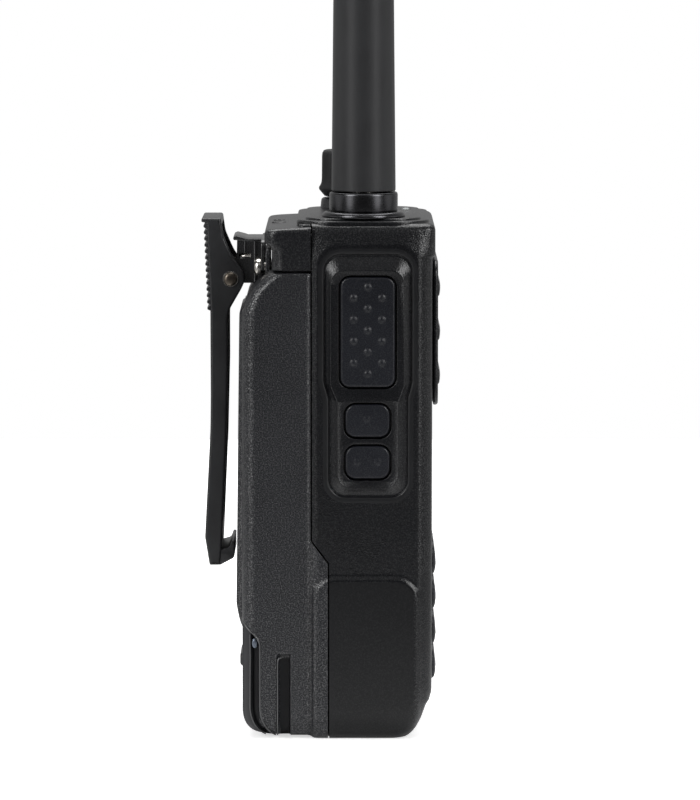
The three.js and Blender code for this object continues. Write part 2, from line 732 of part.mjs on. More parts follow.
function clipSpring() {
  const wire = new THREE.Shape().absarc(0, 0, 0.4, 0, Math.PI * 2, false);
  const path = new SpringPath(6.5, 1.95, 8);
  const made = new THREE.ExtrudeGeometry(wire, { steps: 90, curveSegments: 6, extrudePath: path });
  return piece("clip_spring", made, nickel, 0, PIVOT.y, PIVOT.z);
}

function clipScrew(name, side) {
  const { x, z, head, shank } = CLIP_SCREW;
  const profile = [[0, 0], [shank, 0], [shank, 2.3], [head, 2.3], [head, 3.1], [head * 0.75, 3.8], [0, 4]];
  return piece(name, turned(profile, 24).rotateX(-Math.PI / 2), nickel, side * x, 15.3, z);
}

// ---------------------------------------------------------------- the radio
export default assembly(
  frontCover(),
  chassis(),
  chassisScrew("chassis_screw_left", -1),
  chassisScrew("chassis_screw_right", 1),
  mainBoard(),
  speaker(),
  speakerMesh(),
  microphone(),
  displayLens(),
  displayModule(),
  keypadMat(),
  jackBlock(),
  statusLamp(),
  topBezel(),
  antenna(),
  knob("volume_knob", VOLUME),
  knob("channel_knob", CHANNEL),
  rotaryControl("volume_control", "volume_shaft", VOLUME),
  rotaryControl("channel_encoder", "channel_shaft", CHANNEL),
  sidePress("talk_button", TALK.y, TALK.z, TALK, 2),
  SIDE_KEY.z.map((z, i) => sidePress(["side_key_upper", "side_key_lower"][i], SIDE_KEY.y, z, SIDE_KEY, 1.4)),
  keypadKeys(),
  accessoryCover(),
  batteryCase(),
  batteryInsides(),
  chargeContact("charge_contact_left", -1),
  chargeContact("charge_contact_right", 1),
  batteryLatch(),
  clipBracket(),
  clipArm(),
  clipPin(),
  clipSpring(),
  clipScrew("clip_screw_left", -1),
  clipScrew("clip_screw_right", 1),
);
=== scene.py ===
"""Looks of a handheld two-way radio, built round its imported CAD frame.

Shapes are worked out in millimetres in the CAD frame and scaled to metres when a mesh is made.
+Z is up, the keypad faces -Y and the talk button is on the -X side.
"""

import math

import bmesh
import bpy
import numpy as np
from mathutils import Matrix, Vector
from mathutils.geometry import tessellate_polygon

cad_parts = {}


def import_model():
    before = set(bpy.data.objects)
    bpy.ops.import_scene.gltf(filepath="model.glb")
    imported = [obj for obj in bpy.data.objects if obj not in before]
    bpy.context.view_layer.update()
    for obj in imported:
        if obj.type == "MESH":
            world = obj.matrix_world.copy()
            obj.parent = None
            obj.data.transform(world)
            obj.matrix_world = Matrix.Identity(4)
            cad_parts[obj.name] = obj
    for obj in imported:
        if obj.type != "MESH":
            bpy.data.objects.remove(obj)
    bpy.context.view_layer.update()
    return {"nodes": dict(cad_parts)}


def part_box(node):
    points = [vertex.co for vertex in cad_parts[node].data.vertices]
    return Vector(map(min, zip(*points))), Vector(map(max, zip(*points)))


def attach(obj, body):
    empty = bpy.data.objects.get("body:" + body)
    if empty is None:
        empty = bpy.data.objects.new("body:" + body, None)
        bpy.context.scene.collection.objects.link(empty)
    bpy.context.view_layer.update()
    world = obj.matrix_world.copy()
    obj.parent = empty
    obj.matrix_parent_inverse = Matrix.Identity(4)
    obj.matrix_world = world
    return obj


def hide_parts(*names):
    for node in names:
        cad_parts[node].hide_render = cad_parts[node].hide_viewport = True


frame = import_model()
nodes = frame["nodes"]
MM = 0.001


def middle(name):
    """The middle of a CAD node's box, in millimetres."""
    low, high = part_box(name)
    return (np.array(low) + np.array(high)) / 2 / MM


# ---------------------------------------------------------------- outlines
def rounded(corners, steps=6, spacing=None):
    """Points and outward normals round a closed outline of anticlockwise (u, v, radius) corners."""
    points, normals = [], []
    for i, (u, v, radius) in enumerate(corners):
        here = np.array((u, v), float)
        enter = here - np.array(corners[i - 1][:2], float)
        leave = np.array(corners[(i + 1) % len(corners)][:2], float) - here
        enter /= np.linalg.norm(enter)
        leave /= np.linalg.norm(leave)
        into = np.array((enter[1], -enter[0]))
        out = np.array((leave[1], -leave[0]))
        if radius == 0:
            points.append(here)
            normals.append((into + out) / (1 + into @ out))
            continue
        turn = math.atan2(enter[0] * leave[1] - enter[1] * leave[0], enter @ leave)
        side = math.copysign(1, turn)
        start = here - enter * radius * math.tan(abs(turn) / 2)
        centre = start - into * radius * side
        for k in range(steps + 1):
            c, s = math.cos(turn * k / steps), math.sin(turn * k / steps)
            normal = np.array((into[0] * c - into[1] * s, into[0] * s + into[1] * c))
            points.append(centre + normal * radius * side)
            normals.append(normal)
    points, normals = np.array(points), np.array(normals)
    if spacing is None:
        return points, normals
    fine_points, fine_normals = [], []
    for i in range(len(points)):
        j = (i + 1) % len(points)
        parts = max(1, int(np.linalg.norm(points[j] - points[i]) / spacing))
        for k in range(parts):
            t = k / parts
            fine_points.append(points[i] * (1 - t) + points[j] * t)
            fine_normals.append(normals[i] * (1 - t) + normals[j] * t)
    return np.array(fine_points), np.array(fine_normals)


def box_corners(u, v, width, height, radius):
    a, b = width / 2, height / 2
    return [(u - a, v - b, radius), (u + a, v - b, radius), (u + a, v + b, radius), (u - a, v + b, radius)]


def arc(radius, start, end, steps=4):
    """(offset, height) steps of a quarter round, turning from start to end degrees."""
    angles = np.radians(np.linspace(start, end, steps + 1))
    return [(radius * math.cos(a), radius * math.sin(a)) for a in angles]


def soft_edge(low, high, radius, steps=4):
    """A wall from low to high whose top edge is rounded inwards."""
    rise = [(x - radius, high - radius + z) for x, z in arc(radius, 0, 90, steps)]
    return [(0, low)] + rise


def soft_hole(high, low, radius, steps=3):
    """A hole's wall from high down to low whose mouth is rounded outwards."""
    fall = [(radius - x, high - radius + z) for x, z in arc(radius, 90, 0, steps)]
    return fall + [(0, low)]


# ---------------------------------------------------------------- surfaces as (vertices, faces)
def skin(loops, closed=True):
    count = len(loops[0])
    faces = []
    for row in range(len(loops) - 1):
        for col in range(count if closed else count - 1):
            nxt = (col + 1) % count
            here, above = row * count, (row + 1) * count
            faces.append((here + col, here + nxt, above + nxt, above + col))
    return np.vstack(loops), faces


def merged(parts):
    verts, faces, base = [], [], 0
    for part_verts, part_faces in parts:
        verts.append(part_verts)
        faces += [tuple(i + base for i in face) for face in part_faces]
        base += len(part_verts)
    return np.vstack(verts), faces


def rings(outline, profile):
    points, normals = outline
    flat = np.ones(len(points))
    return [np.column_stack((points + normals * offset, flat * height)) for offset, height in profile]


def plate(outer, walls):
    """Skins an outer wall and the walls of its holes, and closes them with flat faces at both ends."""
    verts, faces = merged([skin(outer)] + [skin(wall) for wall in walls])
    count = len(outer[0])
    tops, feet = [(len(outer) - 1) * count + np.arange(count)], [np.arange(count)]
    base = len(outer) * count
    for wall in walls:
        tops.append(base + np.arange(len(wall[0])))
        feet.append(base + (len(wall) - 1) * len(wall[0]) + np.arange(len(wall[0])))
        base += len(wall) * len(wall[0])
    for loops in (tops, feet):
        index = np.concatenate(loops)
        flat = [[Vector((verts[i][0], verts[i][1], 0)) for i in loop] for loop in loops]
        faces += [tuple(int(index[i]) for i in tri) for tri in tessellate_polygon(flat)]
    return verts, faces


def carved(outline, profile, holes=()):
    """A plate whose (offset, height) profile runs up its wall, with holes whose profiles run down theirs."""
    return plate(rings(outline, profile), [rings(hole, fall) for hole, fall in holes])


def circle(radius, height, angles):
    return np.column_stack((radius * np.cos(angles), radius * np.sin(angles), np.full(len(angles), height)))


def lathe(profile, steps=64):
    """Turns (radius, height) points about Z. Both ends lie on the axis, or the profile closes on itself."""
    angles = np.linspace(0, 2 * math.pi, steps, endpoint=False)
    return skin([circle(radius, height, angles) for radius, height in profile])


def pad(width, height, corner, low, high, soft, crown=None, step=0.6, arcs=5):
    """A key cap: a rounded rectangle from low to high with a soft edge. crown(u, v) lifts its face."""
    a, b = width / 2 - corner, height / 2 - corner
    across, up = max(1, round(2 * a / step)), max(1, round(2 * b / step))
    us, vs = np.linspace(-a, a, across + 1), np.linspace(-b, b, up + 1)
    grid_u, grid_v = np.meshgrid(us, vs)
    core = np.column_stack((grid_u.ravel(), grid_v.ravel(), np.zeros(grid_u.size)))
    wide = across + 1
    corners = [r * wide + c for r in range(up) for c in range(across)]
    core_faces = [(i, i + 1, i + 1 + wide, i + wide) for i in corners]
    points, normals = [], []
    runs = [
        ([(u, -b) for u in us], 270),
        ([(a, v) for v in vs], 0),
        ([(u, b) for u in us[::-1]], 90),
        ([(-a, v) for v in vs[::-1]], 180),
    ]
    for run, angle in runs:
        for u, v in run:
            points.append((u, v))
            normals.append((math.cos(math.radians(angle)), math.sin(math.radians(angle))))
        for k in range(1, arcs):
            turn = math.radians(angle + 90 * k / arcs)
            points.append(run[-1])
            normals.append((math.cos(turn), math.sin(turn)))
    points, normals = np.array(points, float), np.array(normals, float)
    flat = max(corner - soft, 0.01)
    steps = [(flat * t, 0, 1) for t in np.linspace(0, 1, max(2, int(flat / step) + 2))]
    for turn in np.radians((18, 36, 54, 72, 90)):
        steps.append((flat + soft * math.sin(turn), soft * (1 - math.cos(turn)), 1))
    steps += [(flat + soft, high - low, 0)]
    loops = []
    for offset, drop, share in steps:
        uv = points + normals * offset
        lift = crown(uv[:, 0], uv[:, 1]) * share if crown else np.zeros(len(uv))
        loops.append(np.column_stack((uv, high - drop + lift)))
    core[:, 2] = high + (crown(core[:, 0], core[:, 1]) if crown else 0)
    wall, wall_faces = skin(loops)
    last = (len(loops) - 1) * len(points)
    cap = tuple(range(last, last + len(points)))
    return merged([(core, core_faces), (wall, wall_faces + [cap])])


def tub(sections, marks, arc_steps, face_steps, wall, relief):
    """A shell like a tub on its side, its face towards -Y and its mouth open towards +Y.

    Each section is (z, half width, face y, mouth y, corner radius, size): size draws the section in
    to the middle of the mouth, which closes the two ends. relief pushes the outside outwards."""

    def path(half, face, mouth, corner, ys, arcs, faces):
        side_y = np.clip(ys, face + corner, mouth)
        ones = np.ones(len(side_y))
        side = np.column_stack((half * ones, side_y, ones, 0 * ones))
        turn = np.radians(np.linspace(0, 90, arcs + 1))[1:-1]
        c, s = np.cos(turn), np.sin(turn)
        bend = np.column_stack((half - corner + corner * c, face + corner - corner * s, c, -s))
        xs = np.linspace(half - corner, 0, faces + 1)
        front = np.column_stack((xs, np.full(len(xs), face), np.zeros(len(xs)), -np.ones(len(xs))))
        right = np.vstack((side, bend, front))
        left = right[::-1][1:] * np.array((-1, 1, -1, 1))
        return np.vstack((right, left))

    outer, inner = [], []
    low, high = sections[0][0] + wall, sections[-1][0] - wall
    for z, half, face, mouth, corner, size in sections:
        line = path(half, face, mouth, corner, marks, arc_steps, face_steps)
        height = np.full(len(line), float(z))
        push = relief(line[:, 0], line[:, 1], height, line[:, 2], line[:, 3])
        x = line[:, 0] + line[:, 2] * push
        y = line[:, 1] + line[:, 3] * push
        outer.append(np.column_stack((x * size, mouth + (y - mouth) * size, height)))
        line = path(half - wall, face + wall, mouth, max(corner - wall, 0.6), marks[::8], 2, 2)
        height = np.full(len(line), min(max(z, low), high))
        inner.append(np.column_stack((line[:, 0] * size, mouth + (line[:, 1] - mouth) * size, height)))
    verts, faces = merged([skin(outer, closed=False), skin(inner, closed=False)])
    many, few = len(outer[0]), len(inner[0])
    base = many * len(outer)
    for row in range(len(sections) - 1):
        here, above = row * many, (row + 1) * many
        inside, inside_above = base + row * few, base + (row + 1) * few
        faces.append((here, above, inside_above, inside))
        faces.append((here + many - 1, above + many - 1, inside_above + few - 1, inside + few - 1))
    return verts, faces


# ---------------------------------------------------------------- placing
def on_left(part):
    """(y, z, height) to a piece standing out of the -X side."""
    verts, faces = part
    return np.column_stack((-verts[:, 2], verts[:, 0], verts[:, 1])), faces


def on_right(part):
    return along_x(part)


def on_front(part):
    """(x, z, height) to a piece standing out of the front, towards -Y."""
    verts, faces = part
    return np.column_stack((verts[:, 0], -verts[:, 2], verts[:, 1])), faces


def on_back(part):
    verts, faces = part
    return np.column_stack((verts[:, 0], verts[:, 2], verts[:, 1])), faces


def moved(part, x=0.0, y=0.0, z=0.0):
    return part[0] + np.array((x, y, z)), part[1]


def along_x(part):
    """Turns a part's height to run along +X."""
    return part[0][:, [2, 0, 1]], part[1]


def bar_x(points, half, soft=0.25, steps=2):
    """A (y, z) outline run along X from -half to half, with soft ends."""
    profile = [(-soft, -half)] + [(x - soft, -half + soft - z) for x, z in arc(soft, 90, 0, steps)][1:]
    profile += [(x - soft, half - soft + z) for x, z in arc(soft, 0, 90, steps)]
    return along_x(carved(points, profile))


def tube(path, radius, sides=10):
    """A round wire along a list of points."""
    path = np.array(path, float)
    along = np.gradient(path, axis=0)
    along /= np.linalg.norm(along, axis=1)[:, None]
    side = np.cross(along[0], (0.3, 0.5, 0.8))
    loops = []
    angles = np.linspace(0, 2 * math.pi, sides, endpoint=False)
    for point, direction in zip(path, along):
        side = side - direction * (side @ direction)
        side /= np.linalg.norm(side)
        other = np.cross(direction, side)
        loops.append(point + radius * (np.outer(np.cos(angles), side) + np.outer(np.sin(angles), other)))
    verts, faces = skin(loops)
    last = (len(loops) - 1) * sides
    return verts, faces + [tuple(range(sides)), tuple(range(last, last + sides))]


def linked(name, data):
    obj = bpy.data.objects.new(name, data)
    bpy.context.scene.collection.objects.link(obj)
    return obj


def solid(name, part):
    """An object with a cleaned mesh, scaled from millimetres to metres."""
    verts, faces = part
    mesh = bpy.data.meshes.new(name)
    mesh.from_pydata((verts * MM).tolist(), [], faces)
    work = bmesh.new()
    work.from_mesh(mesh)
    bmesh.ops.remove_doubles(work, verts=work.verts, dist=2e-7)
    bmesh.ops.dissolve_degenerate(work, edges=work.edges, dist=1e-7)
    bmesh.ops.recalc_face_normals(work, faces=work.faces)
    work.to_mesh(mesh)
    work.free()
    return linked(name, mesh)


def smoothed(mesh, sharp):
    mesh.shade_smooth()
    mesh.set_sharp_from_angle(angle=math.radians(sharp))


def piece(name, parts, material, body, replaces=(), sharp=40):
    """A visible piece on a body, in place of the CAD nodes it replaces, with the given material."""
    obj = solid(name, merged(parts if isinstance(parts, list) else [parts]))
    smoothed(obj.data, sharp)
    obj.data.materials.append(material)
    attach(obj, body)
    if replaces:
        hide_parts(*replaces)
    return obj


def painted(obj, material, where):
    """Gives the faces whose middle (x, y, z) passes where() another material."""
    obj.data.materials.append(material)
    for face in obj.data.polygons:
        if where(*np.array(face.center) / MM):
            face.material_index = len(obj.data.materials) - 1


# ---------------------------------------------------------------- materials
def feed(node, inputs):
    """Sets a node's inputs to numbers and colours, or joins other nodes' outputs to them."""
    for name, value in inputs.items():
        if isinstance(value, bpy.types.NodeSocket):
            node.id_data.links.new(value, node.inputs[name])
        else:
            node.inputs[name].default_value = value


def add(tree, kind, inputs, **settings):
    node = tree.nodes.new("ShaderNode" + kind)
    for name, value in settings.items():
        setattr(node, name, value)
    feed(node, inputs)
    return node


def new_material(name):
    material = bpy.data.materials.new(name)
    material.use_nodes = True
    tree = material.node_tree
    tree.nodes.clear()
    shader = add(tree, "BsdfPrincipled", {})
    add(tree, "OutputMaterial", {"Surface": shader.outputs["BSDF"]})
    return material, tree, shader, add(tree, "TexCoord", {}).outputs["Object"]


def noise(tree, coords, scale, detail=3.0, rough=0.55):
    inputs = {"Vector": coords, "Scale": scale, "Detail": detail, "Roughness": rough}
    return add(tree, "TexNoise", inputs).outputs["Fac"]


def ramp(tree, factor, low, high):
    """Blends from one (position, color) stop to the other."""
    node = add(tree, "ValToRGB", {"Fac": factor})
    for element, (position, color) in zip(node.color_ramp.elements, (low, high)):
        element.position, element.color = position, color
    return node.outputs["Color"]


def grey(value, tint=0.0):
    return (value * (1 - tint), value * (1 - tint * 0.6), value * (1 + tint), 1)


def spread(tree, factor, low, high, start=0.0, end=1.0):
    """Maps a value that runs from start to end onto low to high, and holds it there beyond."""
    inputs = {"Value": factor, "From Min": start, "From Max": end, "To Min": low, "To Max": high}
    return add(tree, "MapRange", inputs).outputs["Result"]


def calc(tree, operation, *values):
    """A math node fed with numbers and other nodes' outputs."""
    return add(tree, "Math", dict(enumerate(values)), operation=operation).outputs[0]


def bump(tree, *layers):
    """Stacks (height, distance in mm, strength) bumps into one normal."""
    normal = {}
    for height, distance, strength in layers:
        layer = {"Height": height, "Distance": distance * MM, "Strength": strength}
        normal = {"Normal": add(tree, "Bump", {**layer, **normal}).outputs["Normal"]}
    return normal["Normal"]


def grained(name, dark, light, roughness, cell, depth, tint, gloss):
    """Spark-eroded black plastic: pits about cell mm wide, glossier on the crests between them."""
    material, tree, shader, coords = new_material(name)
    pits = add(tree, "TexVoronoi", {}, feature="SMOOTH_F1")
    feed(pits, {"Vector": coords, "Scale": 1 / (cell * MM)})
    tooth = noise(tree, coords, 1.1 / (cell * MM), 2.0, 0.6)
    cloud = noise(tree, coords, 45.0, 4.0, 0.6)
    feed(shader, {
        "Base Color": ramp(tree, cloud, (0.3, grey(dark, tint)), (0.7, grey(light, tint))),
        "Roughness": spread(tree, cloud, roughness - 0.04, roughness + 0.04),
        "Specular IOR Level": spread(tree, tooth, *gloss, 0.46, 0.66),
        "Normal": bump(tree, (pits.outputs["Distance"], depth, 1.0), (tooth, depth * 0.7, 1.0)),
    })
    return material


def smooth_plastic(name, dark, light, roughness, depth=0.02, tint=0.04, sheen=0.5):
    material, tree, shader, coords = new_material(name)
    cloud = noise(tree, coords, 120.0, 4.0, 0.6)
    haze = noise(tree, coords, 5200.0, 2.0, 0.5)
    feed(shader, {
        "Base Color": ramp(tree, cloud, (0.3, grey(dark, tint)), (0.7, grey(light, tint))),
        "Roughness": spread(tree, cloud, roughness - 0.05, roughness + 0.07),
        "Specular IOR Level": sheen,
        "Normal": bump(tree, (haze, depth, 0.5)),
    })
    return material


def metal(name, color, roughness, grain=900.0, spreading=0.08, stretch=(1, 1, 1)):
    """Plated or plain metal with a fine brushed variation stretched along one axis."""
    material, tree, shader, coords = new_material(name)
    mapping = add(tree, "Mapping", {"Vector": coords, "Scale": stretch})
    brush = noise(tree, mapping.outputs["Vector"], grain, 4.0, 0.6)
    dull = tuple(c * 0.8 for c in color)
    feed(shader, {
        "Base Color": ramp(tree, brush, (0.35, (*dull, 1)), (0.7, (*color, 1))),
        "Roughness": spread(tree, brush, roughness - spreading, roughness + spreading),
        "Metallic": 1.0,
        "Normal": bump(tree, (brush, 0.01, 0.25)),
    })
    return material


def glossy_window(centre, half_width, half_height):
    """A dark window whose middle shows the grey-green glass of the display behind it."""
    material, tree, shader, coords = new_material("display_window")
    split = add(tree, "SeparateXYZ", {"Vector": coords})
    masks = []
    for axis, place, half in (("X", 0.0, half_width), ("Z", centre, half_height)):
        away = calc(tree, "ABSOLUTE", calc(tree, "SUBTRACT", split.outputs[axis], place * MM))
        masks.append(spread(tree, away, 0, 1, half * MM, (half - 0.15) * MM))
    glass = calc(tree, "MULTIPLY", *masks)
    feed(shader, {
        "Base Color": ramp(tree, glass, (0.0, (0.003, 0.003, 0.0035, 1)), (1.0, (0.021, 0.026, 0.024, 1))),
        "Roughness": spread(tree, noise(tree, coords, 60.0), 0.03, 0.09),
        "Coat Weight": 1.0,
        "Coat Roughness": 0.03,
    })
    return material


def circuit_board():
    """Green solder mask with paler tracks."""
    material, tree, shader, coords = new_material("circuit_board")
    tracks = add(tree, "TexBrick", {
        "Vector": coords,
        "Scale": 260.0,
        "Color1": (0.012, 0.075, 0.025, 1),
        "Color2": (0.016, 0.095, 0.032, 1),
        "Mortar": (0.03, 0.16, 0.06, 1),
    })
    feed(shader, {
        "Base Color": tracks.outputs["Color"],
        "Roughness": spread(tree, noise(tree, coords, 400.0), 0.25, 0.45),
        "Normal": bump(tree, (tracks.outputs["Fac"], 0.03, 0.4)),
    })
    return material


def printed_ink():
    material, tree, shader, coords = new_material("printed_ink")
    wear = noise(tree, coords, 1500.0)
    feed(shader, {"Base Color": ramp(tree, wear, (0.2, grey(0.5)), (0.8, grey(0.72))), "Roughness": 0.5})
    return material


def clear_pipe():
    material, tree, shader, coords = new_material("light_pipe")
    haze = noise(tree, coords, 900.0, 2.0)
    color = ramp(tree, haze, (0.2, (0.55, 0.6, 0.6, 1)), (0.8, (0.75, 0.8, 0.8, 1)))
    feed(shader, {"Base Color": color, "Roughness": 0.15, "Transmission Weight": 0.5})
    return material


# name, darkest and lightest grey, roughness, grain size and depth in mm, tint, dull and bright gloss
COVER = grained("cover_plastic", 0.004, 0.006, 0.28, 0.34, 0.035, 0.16, (0.42, 0.86))
SHOULDER = grained("cover_shoulder", 0.004, 0.006, 0.28, 0.34, 0.045, 0.16, (0.38, 1.15))
GRIP_SKIN = grained("grip_plastic", 0.003, 0.004, 0.30, 0.34, 0.010, 0.16, (0.42, 0.54))
PACK = grained("pack_plastic", 0.014, 0.019, 0.32, 0.33, 0.075, 0.1, (0.35, 1.9))
CAST = grained("cast_paint", 0.009, 0.013, 0.30, 0.34, 0.05, 0.1, (0.35, 1.4))
KEYS = grained("key_rubber", 0.009, 0.013, 0.36, 0.30, 0.015, 0.22, (0.35, 0.75))
# name, darkest and lightest grey, roughness
SMOOTH = smooth_plastic("smooth_moulding", 0.006, 0.009, 0.36, tint=0.1)
# Painted highlight: a lighter plastic on the thin rims so that they read as bright lines.
RIM_HIGHLIGHT = smooth_plastic("rim_painted_highlight", 0.03, 0.04, 0.3, sheen=1.4)
# Painted shade: a darker, smoother plastic laid on the floors of the corner recess and the guide slot.
SHADE = smooth_plastic("smooth_recess_painted_shade", 0.006, 0.008, 0.5, tint=0.1, sheen=0.3)
# Painted shade, lighter than the recess floor: a smoother plastic for the wing inside the corner recess.
WING_SHADE = smooth_plastic("smooth_wing_painted_shade", 0.013, 0.017, 0.4, tint=0.1, sheen=0.6)
CLIP = smooth_plastic("clip_plastic", 0.024, 0.032, 0.3)
SLEEVE = smooth_plastic("antenna_rubber", 0.024, 0.030, 0.42, depth=0.012)
RUBBER = smooth_plastic("rubber", 0.009, 0.013, 0.58, depth=0.03, sheen=0.35)
BLACK_STEEL = smooth_plastic("black_steel", 0.012, 0.02, 0.2, sheen=1.2)
DARK = smooth_plastic("inner_plastic", 0.010, 0.014, 0.6)
# name, color, roughness
COLLAR = metal("collar_metal", (0.085, 0.085, 0.09), 0.26, 700.0, 0.05, (1, 1, 8))
NICKEL = metal("nickel", (0.78, 0.75, 0.7), 0.2)
BRONZE = metal("rivet_metal", (0.17, 0.145, 0.12), 0.32)
TIN = metal("contact_metal", (0.20, 0.23, 0.28), 0.42)
FOIL = metal("foil", (0.45, 0.47, 0.5), 0.38, 300.0, 0.1)
WINDOW = glossy_window(middle("display_lens")[2], 18.2, 10.6)
BOARD = circuit_board()
INK = printed_ink()
PIPE = clear_pipe()


# ---------------------------------------------------------------- shapes shared by cover and battery
def soft_max(value, width):
    """max(value, 0) with a rounded knee."""
    return (value + np.sqrt(value * value + width * width)) / 2


def outside(y, z, back, front, top, radius):
    """Signed distance from a panel that is open at the bottom and round at its two top corners."""
    across = np.abs(y - (back + front) / 2) - ((back - front) / 2 - radius)
    up = z - (top - radius)
    return np.hypot(np.maximum(across, 0), np.maximum(up, 0)) + np.minimum(np.maximum(across, up), 0) - radius


def step(value, width):
    """0 below -width and 1 above 0, with soft ends."""
    t = np.clip(1 + value / width, 0, 1)
    return t * t * (3 - 2 * t) * 0.35 + t * 0.65


FIELD = {"back": 4.05, "front": -19.7, "top": 116.9, "radius": 4.9}
GRIP = {"back": 4.7, "front": -19.2, "top": 38.1, "radius": 5.2}
SIDE = 27.4
SLOPE = 0.27
FOOT_INSET = 4.4


def side_relief(y, z):
    """How far the side stands out of its flat field: it falls away outside it, and the grip is raised."""
    fall = -SLOPE * soft_max(outside(y, z, **FIELD), 0.12)
    return fall + 0.58 * step(-outside(y, z, **GRIP), 1.15)


def foot_curve(t, tall, deep):
    """A soft lower edge: how far up and how far in the wall is, as t runs from the wall to the foot."""
    return tall * (1 - t) ** 2, deep * t * t


def graded(stops):
    """Values from (start, step) pairs, each step size used up to the next start."""
    values = []
    for (start, size), (end, _) in zip(stops, stops[1:]):
        count = max(1, round(abs(end - start) / size))
        values += list(np.linspace(start, end, count, endpoint=False))
    return np.array(values + [stops[-1][0]])


# ---------------------------------------------------------------- front cover
TALK, UPPER, LOWER = middle("talk_button"), middle("side_key_upper"), middle("side_key_lower")
TALK_SIZE, KEY_SIZE = (12.8, 25.8), (10.4, 7.7)
WELLS = [(*TALK[1:], *TALK_SIZE, 2.4), (*UPPER[1:], *KEY_SIZE, 2.5), (*LOWER[1:], *KEY_SIZE, 2.5)]
PANEL = {"half": 23.4, "foot": 10.6, "top": 113.2}


def crease(y, z):
    """0 on the land and 1 in the crease round the key mound, which narrows at its waist."""
    half = np.interp(z, [81.0, 84.8], [9.2, 10.25])
    across = np.abs(y + 7.82) - (half - 4.0)
    up = np.maximum(z - (114.85 - 4.0), (57.8 + 4.0) - z)
    away = np.hypot(np.maximum(across, 0), np.maximum(up, 0)) + np.minimum(np.maximum(across, up), 0) - 4.0
    return np.clip(1 - away / 0.4, 0, 1)


def cover_relief(x, y, z, nx, ny):
    side = np.abs(nx) ** 2 * (side_relief(y, z) - 0.45 * crease(y, z))
    for well_y, well_z, width, height, _ in WELLS:
        inside = (np.abs(y - well_y) < width / 2 + 1.0) & (np.abs(z - well_z) < height / 2 + 1.0)
        side = np.where(inside & (nx < -0.99), -1.75, side)
    pocket = (ny < -0.99) & (np.abs(x) < PANEL["half"] - 0.8)
    pocket &= (z > PANEL["foot"] + 0.8) & (z < PANEL["top"] - 0.8)
    return np.where(pocket, -1.7, side)


def cover_mouth(z):
    return float(np.interp(z, [0, 42.2, 47.4, 130], [1.3, 1.3, 5.3, 5.3]))


def cover_face(z):
    heights = [0, 2.2, 5.1, 8.0, 9.2, 11.4, 113.7, 114.6]
    return float(np.interp(z, heights, [-17.2, -19.0, -20.5, -21.5, -22.3, -22.9, -22.9, -23.6]))


def on_grip(x, y, z):
    return abs(x) > 20 and GRIP["front"] + 0.5 < y < GRIP["back"] - 0.5 and z < GRIP["top"] - 0.5


def cover_shell():
    foot = (0, SIDE - FOOT_INSET - 0.4, cover_face(0) + 0.9, 1.3, 3.8)
    sections = [(*foot, size) for size in (0.0, 0.5, 0.9)]
    for t in np.linspace(1, 0, 11):
        z, inset = foot_curve(t, 7.5, FOOT_INSET)
        sections.append((z, SIDE - inset, cover_face(z) + 0.9 * t ** 6, 1.3, 3.8, 1))
    stops = [(8.3, 0.8), (11.8, 1.4), (32, 0.38), (39.6, 0.65), (48, 1.3), (56.2, 0.25), (62, 1.3), (79, 0.4)]
    stops += [(86, 1.3), (109.5, 0.25), (117.6, 0.5), (120.3, 1)]
    for z in graded(stops):
        sections.append((z, SIDE, cover_face(z), cover_mouth(z), 3.9, 1))
    for turn in np.radians((15, 30, 45, 60, 75, 90)):
        inset = 1.6 * (1 - math.cos(turn))
        sections.append((120.3 + 1.6 * math.sin(turn), SIDE - inset, -23.6 + inset, 5.3, 3.9, 1))
    sections += [(121.9, SIDE - 1.6, -22.0, 5.3, 3.9, size) for size in (0.9, 0.5, 0.0)]
    marks = graded([(5.3, 0.2), (0.7, 0.8), (-14.2, 0.4), (-16.4, 0.2), (-18.6, 0.36), (-19.7, 1)])
    shell = tub(sections, marks, 10, 26, 2.0, cover_relief)
    cover = piece("cover_shell", shell, COVER, "radio", ["front_cover"], sharp=50)
    painted(cover, GRIP_SKIN, on_grip)
    painted(cover, SHOULDER, lambda x, y, z: z > GRIP["top"] + 1.5 and outside(y, z, **FIELD) > 0.15)


def mound_outline(back, front, top, waist, low_back, low_front, foot, high_radius, low_radius):
    corners = [
        (back, top, high_radius),
        (back, waist + 1.9, 1.2),
        (low_back, waist - 1.9, 1.2),
        (low_back, foot, low_radius),
        (low_front, foot, low_radius),
        (low_front, waist - 1.9, 1.2),
        (front, waist + 1.9, 1.2),
        (front, top, high_radius),
    ]
    return rounded([(-y, z, r) for y, z, r in corners], steps=10)


CREST = 1.0


def between(foot, crest, levels):
    """Loops whose (share, height) steps run from one outline to the other, height above the side."""
    loops = []
    for share, height in levels:
        flat = foot[0] * (1 - share) + crest[0] * share
        loops.append(np.column_stack((flat, np.full(len(flat), SIDE + height))))
    return loops


def key_mound():
    """The raised island that the talk button and the side keys stand in, with a crease round it."""
    foot = mound_outline(2.4, -18.0, 114.8, 82.9, 1.3, -17.0, 57.85, 4.0, 4.0)
    crest = mound_outline(0.85, -16.15, 110.85, 82.2, -0.8, -14.75, 60.1, 3.2, 3.4)
    slope = [(0, -1.4), (0, -0.62), (0.05, -0.58)]
    lip = [(0.82, -0.16), (0.88, 0.02), (0.93, 0.09), (0.97, 0.07), (1.0, 0)]
    return between(foot, crest, slope + [(share, CREST + height) for share, height in lip])


def mound_piece():
    walls = []
    for y, z, width, height, corner in WELLS:
        hole = rounded(box_corners(-y, z, width + 0.9, height + 0.9, corner + 0.4), steps=8)
        walls.append(rings(hole, soft_hole(SIDE + CREST, SIDE - 1.2, 0.16)))
    verts, faces = plate(key_mound(), walls)
    verts = verts * np.array((-1, 1, 1))
    piece("key_mound", on_left((verts, faces)), COVER, "radio", sharp=50)


